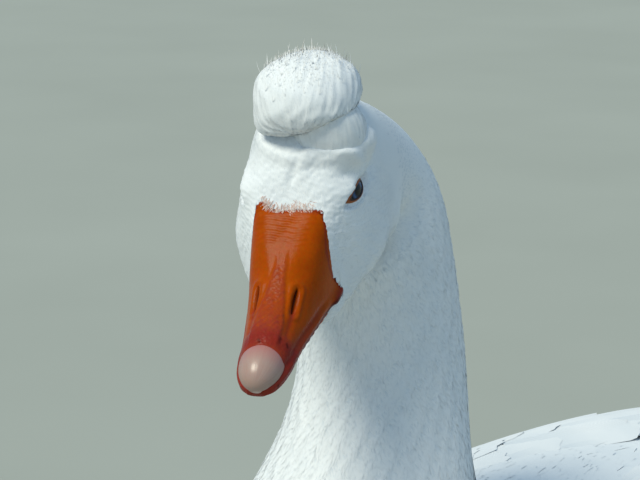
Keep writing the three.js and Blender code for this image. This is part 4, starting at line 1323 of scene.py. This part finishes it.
def makeNail():
    # nail of the bill: hard keratin, translucent cream over pink, with fine lines along it
    material, shader = newMaterial("bill nail keratin", Roughness=0.33, IOR=1.54, Subsurface_Weight=0.2,
                                   Subsurface_Scale=0.003, Coat_Weight=0.15, Coat_Roughness=0.25)
    shader.inputs["Subsurface Radius"].default_value = (1.0, 0.5, 0.35)
    place = addNode(material, "ShaderNodeUVMap", uv_map="vane")
    apart = addNode(material, "ShaderNodeSeparateXYZ", {"Vector": place.outputs[0]})
    stretched = addNode(material, "ShaderNodeMapping", {
        "Vector": place.outputs[0], "Scale": (48 / 0.8, 2.5, 1.0),  # 48 mm round it, by 0.8 mm for a line
    })
    lines = addNode(material, "ShaderNodeTexNoise", {
        "Vector": stretched.outputs[0], "Scale": 1.0, "Detail": 3.0,
    })
    back = addNode(material, "ShaderNodeMapRange", {
        "Value": apart.outputs[1], "From Min": 0.35, "From Max": 0.62, "To Min": 0.0, "To Max": 1.0,
    })
    colour = addNode(material, "ShaderNodeMix", {
        0: lines.outputs[0], 6: linear("#b89b8e"), 7: linear("#a8857a"),
    }, data_type="RGBA")
    colour = addNode(material, "ShaderNodeMix", {
        0: back.outputs[0], 6: colour.outputs[2], 7: linear("#b5635e"),
    }, data_type="RGBA")
    link(material, colour.outputs[2], shader.inputs["Base Color"])
    bump = addNode(material, "ShaderNodeBump", {
        "Strength": 0.2, "Distance": 0.3 * mm, "Height": lines.outputs[0],
    })
    link(material, bump.outputs[0], shader.inputs["Normal"])
    rows, columns = 90, 160
    a = np.linspace(0, math.pi, rows)[:, None]
    b = np.arange(columns)[None] * 2 * math.pi / columns
    f = nail["f"] + nail["halfLength"] * np.cos(a) * np.ones_like(b)
    l = -nail["halfWidth"] * np.sin(a) * np.sin(b)
    u = nail["u"] + nail["halfHeight"] * np.sin(a) * np.cos(b)
    under = nail["under"] - 1.0 * smoothStep(66, 84, f)
    u = np.where(u < under, under + 0.08 * (u - under), u)
    f = np.maximum(f, nail["back"])
    points = headToBird(f, l, u).reshape(-1, 3)
    thing = meshFrom("bill_nail", toScene(points), gridTriangles(rows, columns, True)[:, ::-1], [material])
    uv = np.stack(np.broadcast_arrays(b / (2 * math.pi), a / math.pi), -1).reshape(-1, 2)
    addUv(thing, "vane", uv)
    show(thing, "nail_horn", "nail")


makeBill()
makeNail()
print("bill ready")


density = 1.0
sides = (("left", meshPhi < math.pi), ("right", meshPhi >= math.pi))
# the second colour is the root's: on the white feathers a bluish grey, painted as shade under the overlapping
# feathers
white = plumageMaterial("white contour feather", "#f4f6f7", "#dfe5ea", 0)
vaned = plumageMaterial("white vaned feather", "#f5f6f6", "#e2e7eb", 30)
stained = plumageMaterial("stained white bristle", "#efdfd6", "#c98f78", 0)


def stationOf(roots):
    return roots[0] * lastStation / (bodyGrid["rows"] - 1)


def sideOf(roots):
    return np.sin(roots[1] * 2 * math.pi / bodyGrid["columns"])


def headPlumage():
    # fine short locks, shorter before the eye and round the lids, and longer where the neck begins
    values = {"spacing": 0.42, "length": 3.4, "width": 0.95, "lift": 0.038}
    onHead = smoothStep(15.4, 17.2, meshT)
    measure = body["measure"][..., 0]
    f, l, u = birdToHead(body["points"])
    clear = np.where((np.abs(l) > 6) & (meshT > 16.5), smoothStep(1.25, 1.4, measure), 1.0)
    clear = clear * ((pastFeathers(f, l, u) < 0.4) | (meshT < 19))
    for side, half in sides:
        keep = onHead * clear * half * density
        roots = placeRoots(body, values["spacing"] * np.ones_like(meshT), keep, seed=11)
        t = stationOf(roots)
        near = sampled(body, "measure", *roots)[:, 0]
        small = 1 - 0.5 * smoothStep(17.5, 20.5, t)
        small = small * np.where(t > 16.5, 0.35 + 0.65 * smoothStep(1.3, 3.4, near), 1)
        grow = 1 + 0.9 * (1 - smoothStep(15.4, 17.2, t))
        width = values["width"] * (0.5 + 0.5 * small) * grow / math.sqrt(density)
        length = values["length"] * small * grow
        layFeathers("head_plumage_" + side, body, roots, [bladeShape(2)], length, width, values["lift"],
                    white, sway=0.25, base=0.05, soft=0.85, seed=21)


def bristles():
    # short stiff bristles that fan down over the root of the bill
    values = {"spacing": 0.6, "length": 3.2, "width": 0.17, "lift": 0.16}
    f, l, u = birdToHead(body["points"])
    past = pastFeathers(f, l, u)
    keep = (np.abs(past + 0.6) < 1.1) & (u > 2) & (np.abs(l + 1) < 9.5) & (meshT > 19)
    roots = placeRoots(body, values["spacing"] * np.ones_like(meshT), keep * 1.0, seed=15)
    rootL = birdToHead(sampled(body, "points", *roots))[1]
    short = 1 - 0.5 * smoothStep(4, 9, np.abs(rootL + 2.5))
    layFeathers("bill_bristles", body, roots, [bladeShape(3)], values["length"] * short, values["width"],
                values["lift"], stained, angle=math.pi - 0.07 * (rootL + 2.5), sway=0.5, base=0.15, curl=1.6,
                soft=0.6, seed=17)


def growLocks(name, roots, normals, ground, directions, shape, length, width, bend, uv, seed):
    # free locks: each starts at its root, runs in its direction and bends towards or away from the surface
    rng = np.random.default_rng(seed)
    count = len(roots)
    length = length * rng.uniform(0.8, 1.15, count)
    width = width * rng.uniform(0.85, 1.15, count)
    side = unit(np.cross(normals, directions))
    over = np.cross(directions, side)
    template, triangles = shape
    x, y, z = (template[:, k][None] for k in range(3))
    wander = rng.normal(0, 0.06, count)[:, None] * x ** 2 * length[:, None]
    points = roots[:, None] + directions[:, None] * (x * length[:, None])[..., None]
    points = points + side[:, None] * (y * width[:, None] + wander)[..., None]
    rise = bend * x ** 2 * length[:, None] + z * width[:, None]
    points = points + over[:, None] * rise[..., None]
    per = len(template)
    index = (triangles[None] + (np.arange(count) * per)[:, None, None]).reshape(-1, 3)
    thing = meshFrom(name, toScene(points.reshape(-1, 3)), index, [white])
    softenShading(thing, np.repeat(ground, per, 0), 0.85)
    each = np.ones((count, 1))
    local = np.stack([np.clip(y, -0.5, 0.5) * each, (x - 0.5) * each], -1)
    addUv(thing, "OFBake", (uv[:, None] + 0.003 * local).reshape(-1, 2))
    addUv(thing, "vane", np.stack([(y + 0.5) * each, x * each], -1).reshape(-1, 2))
    show(thing, "plumage")
    print(name, count, "locks", len(index), "triangles")


def crestPlumage():
    # a fine coat climbs the puff, upright strands end it in a spiky top, and a few wisps stand out
    rng = np.random.default_rng(33)
    surface = crestSurface(crest["coatDepth"], 200, 400)
    rows, columns = surface["points"].shape[:2]
    coats = []
    hidden = surface["points"][..., 2] < headToBird(*crest["above"])[2]
    for k, low in enumerate((0, columns // 2)):
        half = (np.arange(columns) >= low) & (np.arange(columns) < low + columns // 2)
        keep = (np.arange(rows) > crest["bare"])[:, None] * half[None] * ~hidden * density
        coats.append((f"plumage_{k + 1}", surface, keep, 31 + k, 35 + k))
    flank = flankSurface(crest["coatDepth"], 120, 240)
    shown = flank["points"][..., 2] > headToBird(*crest["flankAbove"])[2]
    coats.append(("flank", flank, shown * density, 34, 37))
    spacing, length, width, lift = crest["coat"]
    for name, ground, keep, rootSeed, seed in coats:
        roots = placeRoots(ground, spacing * np.ones(keep.shape), keep, rootSeed)
        layFeathers("crest_" + name, ground, roots, [bladeShape(2)], length, width / math.sqrt(density), lift,
                    white, sway=0.13, base=0.05, layer=0.05, soft=0.85, seed=seed)
    upward = unit(headToBird(*crest["tipsPoint"]) - headToBird(0.0, 0.0, 0.0))
    facing = surface["normals"] @ upward
    for name in ("tips", "wisps"):
        spacing, length, width, out, low = crest[name]
        keep = smoothStep(low, low + 0.4, facing)
        roots = placeRoots(surface, spacing * np.ones((rows, columns)), keep, seed=38)
        places = sampled(surface, "points", *roots)
        normals = unit(sampled(surface, "normals", *roots))
        directions = unit(upward + out * normals + crest["tipsStray"] * rng.normal(0, 1, normals.shape))
        facingOut = unit(normals - directions * (normals * directions).sum(-1)[:, None])
        uv = np.stack([np.mod(roots[1] / columns, 1) * 0.98 + 0.01, roots[0] / rows * 0.98 + 0.01], -1)
        growLocks("crest_" + name, places - normals * crest["coatDepth"], facingOut, normals, directions,
                  strandShape(3), length, width, -0.12, uv, seed=41)


neck = {
    # mm between roots, length and width, and the lift: of the fine coat, and of tufts that stand out of it
    "coat": (0.9, 5.2, 1.8, 0.022), "tufts": (3.0, 4.2, 1.5, 0.06),
    "sweep": 0.5,  # how far low on the neck the feathers turn to the back, in radians
}


def neckPlumage():
    shapes = {"coat": [bladeShape(2)], "tufts": [bundleShape(4, 3, 0.28, seed) for seed in range(6)]}
    onNeck = smoothStep(8.2, 9.8, meshT) * (1 - smoothStep(15.6, 16.6, meshT))
    coarser = 1 + 0.7 * (1 - smoothStep(9, 12, meshT))
    for kind, label in (("coat", "plumage"), ("tufts", "tufts")):
        spacing, length, width, lift = neck[kind]
        for side, half in sides:
            roots = placeRoots(body, spacing * coarser, onNeck * half * density, seed=51)
            t = stationOf(roots)
            grow = 1 + 0.9 * (1 - smoothStep(9, 12, t)) - 0.4 * smoothStep(14, 16.2, t)
            lean = sideOf(roots)
            angle = -neck["sweep"] * np.sign(lean) * np.abs(lean) ** 0.5 * smoothStep(9, 12, t)
            layFeathers(f"neck_{label}_{side}", body, roots, shapes[kind], length * grow,
                        width * grow / math.sqrt(density), lift, white, angle=angle, sway=0.14, base=0.2,
                        curl=0.15, layer=0.15, soft=0.85, seed=61)


def bodyPlumage():
    # rounded feathers that overlap by three quarters, smaller towards the neck
    values = {"spacing": 6.4, "length": 27.0, "width": 16.0, "lift": 0.02}
    shapes = [petalShape(4, 6, seed, crown=0.03) for seed in range(6)]
    onBody = 1 - smoothStep(8.6, 9.6, meshT)
    spacing = values["spacing"] * (1 - 0.5 * smoothStep(5.5, 9.4, meshT))
    for side, half in sides:
        roots = placeRoots(body, spacing, onBody * half, seed=71)
        t = stationOf(roots)
        grow = 1 - 0.5 * smoothStep(5.5, 9.4, t)
        layFeathers("body_plumage_" + side, body, roots, shapes, values["length"] * grow,
                    values["width"] * grow, values["lift"], white, sway=0.14, base=0.6, rise=0.8, layer=0.2,
                    soft=0.8, seed=81)


def gridRoots(rowsFrom, rowsTo, rowCount, columnsFrom, columnsTo, columnCount, seed):
    # feathers in staggered rows, as coverts grow, each a little out of its place
    jitter = 0.12
    rng = np.random.default_rng(seed)
    i, j = [], []
    for k in range(rowCount):
        share = k / max(rowCount - 1, 1)
        row = rowsFrom + (rowsTo - rowsFrom) * share
        for m in range(columnCount):
            across = (m + 0.5 + 0.5 * (k % 2)) / (columnCount + 0.5)
            i.append(row)
            j.append(columnsFrom + (columnsTo - columnsFrom) * across)
    i, j = np.array(i), np.array(j)
    stepI = abs(rowsTo - rowsFrom) / max(rowCount - 1, 1)
    stepJ = abs(columnsTo - columnsFrom) / columnCount
    i = i + rng.normal(0, jitter, len(i)) * stepI
    j = j + rng.normal(0, jitter, len(j)) * stepJ
    return i, j


# tracts of a folded wing, first the deepest: name; first and last station and rows of feathers; from edge to
# edge as shares, and feathers in a row; length, width and how high they start in mm; lift and angle
wingTracts = [
    ("primaries", (2.9, 2.0, 3), (0.3, 0.85, 4), 135, 19, 0.2, 0.02, 0.1),
    ("secondaries", (3.9, 3.5, 2), (0.2, 1.0, 8), 105, 26, 1.0, 0.015, 0.03),
    ("tertials", (4.6, 3.6, 3), (-0.02, 0.5, 5), 92, 30, 1.5, 0.012, 0.0),
    ("greater_coverts", (5.1, 4.5, 3), (0.02, 0.98, 10), 56, 24, 2.0, 0.016, 0.0),
    ("median_coverts", (6.0, 5.1, 5), (0.0, 0.98, 11), 36, 20, 2.0, 0.02, 0.0),
    ("lesser_coverts", (8.0, 6.0, 14), (0.0, 1.0, 15), 24, 15, 1.6, 0.025, 0.0),
    ("scapulars", (6.75, 3.6, 13), (-0.06, 0.22, 5), 44, 24, 1.5, 0.01, 0.0),
]


def wingPlumage():
    quills = [quillShape(12, seed, crown=0.03) for seed in range(4)]
    soft = [petalShape(7, 8, seed + 20, fringe=0.03, pointed=0.25, crown=0.02) for seed in range(5)]
    toRow = (wing["rows"] - 1) / (len(wingStations) - 1)
    for side, label in ((1, "left"), (-1, "right")):
        surface = wingSurface(side)
        for k, (name, along, across, length, width, base, lift, angle) in enumerate(wingTracts):
            start, end, rowCount = along
            low, high, columnCount = across
            roots = gridRoots(start * toRow, end * toRow, rowCount, low * wing["columns"],
                              high * wing["columns"], columnCount, 90 + k)
            long = length >= wing["quillFrom"]
            material = vaned if length > wing["vanedFrom"] else white
            layFeathers(f"{name}_{label}", surface, roots, quills if long else soft, length, width, lift,
                        material, angle=angle, sway=0.03 if long else 0.07, base=base, rise=0.9,
                        layer=0.4 if long else 0.15, soft=0.75, seed=100 + k)


def tailPlumage():
    quills = [quillShape(10, seed + 7, crown=0.04) for seed in range(4)]
    soft = [petalShape(6, 8, seed + 40, fringe=0.03, crown=0.04) for seed in range(5)]
    for top, label in ((True, "upper"), (False, "lower")):
        surface = tailSurface(top)
        rows, columns = surface["points"].shape[:2]
        share = np.linspace(*tail["quillSpan"], tail["quills"])
        roots = (np.full(tail["quills"], rows * tail["quillRow"]), share * columns)
        length = tail["quillLength"] - tail["quillShorter"] * np.abs(share - 0.5)
        layFeathers(f"tail_quills_{label}", surface, roots, quills, length, tail["quillWidth"], 0.0, vaned,
                    angle=(share - 0.5) * 0.35, sway=0.02, base=0.25, layer=0.5, seed=131)
        roots = gridRoots(rows * 1.0, rows * 0.5, tail["covertRows"], columns * 0.02, columns * 0.98,
                          tail["covertsInRow"], 133)
        layFeathers(f"tail_coverts_{label}", surface, roots, soft, tail["covertLength"], tail["covertWidth"],
                    0.05, white, sway=0.08, base=1.0, layer=0.8, seed=135)


def thighPlumage():
    shapes = [petalShape(5, 6, seed + 60) for seed in range(5)]
    for side, label in ((1, "left"), (-1, "right")):
        size = thigh["rows"], thigh["columns"]
        points = limbSurface(thigh["stations"][::-1], *size, grow=-thigh["coat"])["points"]
        surface = makeSurface(points if side > 0 else mirror(points), True, flip=side < 0)
        roots = placeRoots(surface, thigh["spacing"] * np.ones(size), np.ones(size), seed=141)
        grow = 0.55 + 0.45 * roots[0] / thigh["rows"]  # they shorten towards the shank
        layFeathers(f"thigh_plumage_{label}", surface, roots, shapes, thigh["length"] * grow,
                    thigh["width"] * grow, thigh["lift"], white, sway=0.16, base=0.4, layer=0.8, seed=143)


headPlumage()
bristles()
crestPlumage()
neckPlumage()
bodyPlumage()
wingPlumage()
tailPlumage()
thighPlumage()
print("plumage ready")


leg = {
    "ankle": (50, 24, 13), "hock": (51, 50, 92),
    "splay": math.radians(8),  # the foot points this far outward
    # heading in degrees, length, radius
    "toes": {"inner": (-24, 64, 4.6), "middle": (3, 82, 5.2), "outer": (29, 74, 4.8)},
    "toeRows": 60, "toeColumns": 28,
    "claw": (9.0, 2.6),  # length, radius
    "web": 2.4, "webSpan": (0.06, 0.93),  # thickness, and from where to where along the toes
    "webDrawn": (0.34, 0.5, 0.43),  # how far its front edge is drawn in, from where along, and over how much
    "pleat": 0.12,
    "shankScute": (0.18, 4.2), "toeScute": (0.16, 3.6),  # height of a scute, and from one to the next
}


def legMaterials():
    # leg skin: dry leathery scales, orange, duller in the creases between scutes about 2.5 mm apart
    skinOfLeg, shader = newMaterial("goose leg skin", Roughness=0.52, IOR=1.45)
    place = addNode(skinOfLeg, "ShaderNodeTexCoord")
    cells = addNode(skinOfLeg, "ShaderNodeTexVoronoi", {
        "Vector": place.outputs["Object"], "Scale": perMetre(2.5),
    }, feature="DISTANCE_TO_EDGE")
    tone = addNode(skinOfLeg, "ShaderNodeTexNoise", {
        "Vector": place.outputs["Object"], "Scale": perMetre(16.7),
    })
    crease = addNode(skinOfLeg, "ShaderNodeMapRange", {
        "Value": cells.outputs[0], "From Min": 0.0, "From Max": 0.12, "To Min": 0.7, "To Max": 0.0,
    })
    colour = addNode(skinOfLeg, "ShaderNodeMix", {
        0: tone.outputs[0], 6: linear("#d9771f"), 7: linear("#c8601a"),
    }, data_type="RGBA")
    colour = addNode(skinOfLeg, "ShaderNodeMix", {
        0: crease.outputs[0], 6: colour.outputs[2], 7: linear("#8f3f12"),
    }, data_type="RGBA")
    link(skinOfLeg, colour.outputs[2], shader.inputs["Base Color"])
    bump = addNode(skinOfLeg, "ShaderNodeBump", {
        "Strength": 0.7, "Distance": 0.6 * mm, "Height": cells.outputs[0],
    })
    link(skinOfLeg, bump.outputs[0], shader.inputs["Normal"])
    # claw: smooth grown horn, pale, clouded with brown every 4 mm or so
    horn, shader = newMaterial("goose claw horn", Roughness=0.35, IOR=1.54)
    place = addNode(horn, "ShaderNodeTexCoord")
    tone = addNode(horn, "ShaderNodeTexNoise", {
        "Vector": place.outputs["Object"], "Scale": perMetre(4),
    })
    colour = addNode(horn, "ShaderNodeMix", {
        0: tone.outputs[0], 6: linear("#b89a7c"), 7: linear("#d8c4a8"),
    }, data_type="RGBA")
    link(horn, colour.outputs[2], shader.inputs["Base Color"])
    return skinOfLeg, horn


def toePoint(toe, share, z, add=0.0):
    heading, length = leg["toes"][toe][:2]
    angle = math.radians(heading) + leg["splay"]
    reach = length * share + add
    return (leg["ankle"][0] + math.sin(angle) * reach, leg["ankle"][1] - math.cos(angle) * reach, z)


def makeLegs():
    skinOfLeg, horn = legMaterials()
    ankle, hock = np.array(leg["ankle"], float), np.array(leg["hock"], float)
    mid = lambda share: tuple(hock + (ankle - hock) * share)
    shank = limbSurface([
        (hock[0], hock[1], hock[2] + 9, 8.6, 9.8), (*mid(0.06), 9.2, 11), (*mid(0.22), 6.6, 8.4),
        (*mid(0.55), 6, 7.6), (*mid(0.85), 7, 8.2), (ankle[0], ankle[1], ankle[2] + 5, 7.8, 8.6),
    ], 90, 48)["points"]
    high, apart = leg["shankScute"]
    scute = high * np.sin(shank[..., 2] * 2 * math.pi / apart)
    front = smoothStep(0.2, 0.8, (ankle[1] + 12 - shank[..., 1]) / 20)
    shank = shank + makeSurface(shank, True)["normals"] * (scute * front)[..., None]
    up = (0, 0, 1)
    ax, ay, az = ankle
    # the sole's root, the ankle and the hind toe
    footShells = [limbSurface(stations, *size)["points"] for stations, size in (
        ([(ax, ay + 12, 5, 4, 4), (ax, ay + 4, 6.5, 7.5, 6.5), (ax, ay - 8, 6.5, 8.5, 6),
          (ax, ay - 20, 5, 7, 4.5)], (24, 28, up)),
        ([(ax, ay - 2, 5, 7.4, 8.2), (ax, ay, az + 1, 8, 8.8), (ax, ay, az + 8, 7.8, 8.6)], (14, 36)),
        ([(ax - 3, ay + 3, 12, 4, 4), (ax - 7, ay + 13, 9, 3.2, 3.2), (ax - 9, ay + 21, 5, 1.8, 1.8)],
         (20, 20, up)),
    )]
    high, apart = leg["toeScute"]
    rows, columns = leg["toeRows"], leg["toeColumns"]
    for toe, (_, length, r) in leg["toes"].items():
        limb = limbSurface([
            (*toePoint(toe, 0, r + 1.2), r * 1.25, r * 1.3), (*toePoint(toe, 0.3, r + 0.2), r, r),
            (*toePoint(toe, 0.5, r - 0.2), r * 1.08, r * 1.05),
            (*toePoint(toe, 0.78, r * 0.82), r * 0.84, r * 0.86),
            (*toePoint(toe, 0.97, r * 0.6), r * 0.62, r * 0.66)], rows, columns, up)["points"]
        far = np.linspace(0, 1, rows)[:, None]
        ring = high * np.sin(far * length * 2 * math.pi / apart)
        limb = limb + makeSurface(limb, True)["normals"] * (ring * np.ones((rows, columns)))[..., None]
        footShells.append(limb)
    drawn, drawnFrom, drawnOver = leg["webDrawn"]
    for first, second in (("inner", "middle"), ("middle", "outer")):
        share = np.linspace(0, 1, 25)
        rings = []
        for reach in np.linspace(*leg["webSpan"], 40):
            a, b = np.array(toePoint(first, reach, 0)), np.array(toePoint(second, reach, 0))
            line = a + (b - a) * share[:, None]
            root = np.array([ax, ay, 0])
            pull = drawn * share * (1 - share) * max(0.0, (reach - drawnFrom) / drawnOver)
            line = line + (root - line) * pull[:, None]
            thick = leg["web"] * (1 - 0.35 * np.sin(np.pi * share)) + 1.6 * (1 - reach)
            pleat = leg["pleat"] * np.sin(share * 40)
            top, bottom = line.copy(), line.copy()
            top[:, 2] = thick + pleat
            bottom[:, 2] = 0.1
            rings.append(np.concatenate([top, bottom[::-1]]))
        footShells.append(np.array(rings))
    for side, label in ((1, "left"), (-1, "right")):
        turn = lambda grid: grid if side > 0 else mirror(grid)[:, ::-1]
        flat, index = closedLoft(turn(shank))
        show(meshFrom("shank_skin_" + label, toScene(flat), index, [skinOfLeg]), "leg_skin", "shank_" + label)
        flat, index = joinShells([closedLoft(turn(g)) for g in footShells])
        flat[:, 2] = np.maximum(flat[:, 2], 0.0)
        show(meshFrom("foot_skin_" + label, toScene(flat), index, [skinOfLeg]), "leg_skin", "foot_" + label)
        reach, radius = leg["claw"]
        for toe, (_, length, _) in leg["toes"].items():
            start = 0.97 * length - 1.5
            grid = limbSurface([
                (*toePoint(toe, 0, 2.7, start), radius * 0.9, radius * 0.85),
                (*toePoint(toe, 0, 3.2, start + reach * 0.4), radius * 0.85, radius * 0.8),
                (*toePoint(toe, 0, 2.6, start + reach * 0.8), radius * 0.55, radius * 0.5),
                (*toePoint(toe, 0, 1.1, start + reach + 1.5), 0.4, 0.4)], 24, 20, up)["points"]
            flat, index = closedLoft(turn(grid))
            show(meshFrom(f"claw_{toe}_horn_{label}", toScene(flat), index, [horn]), "claw_horn",
                 f"claw_{toe}_{label}")


makeLegs()
print("legs and feet ready")

bpy.context.scene.view_settings.view_transform = "Standard"
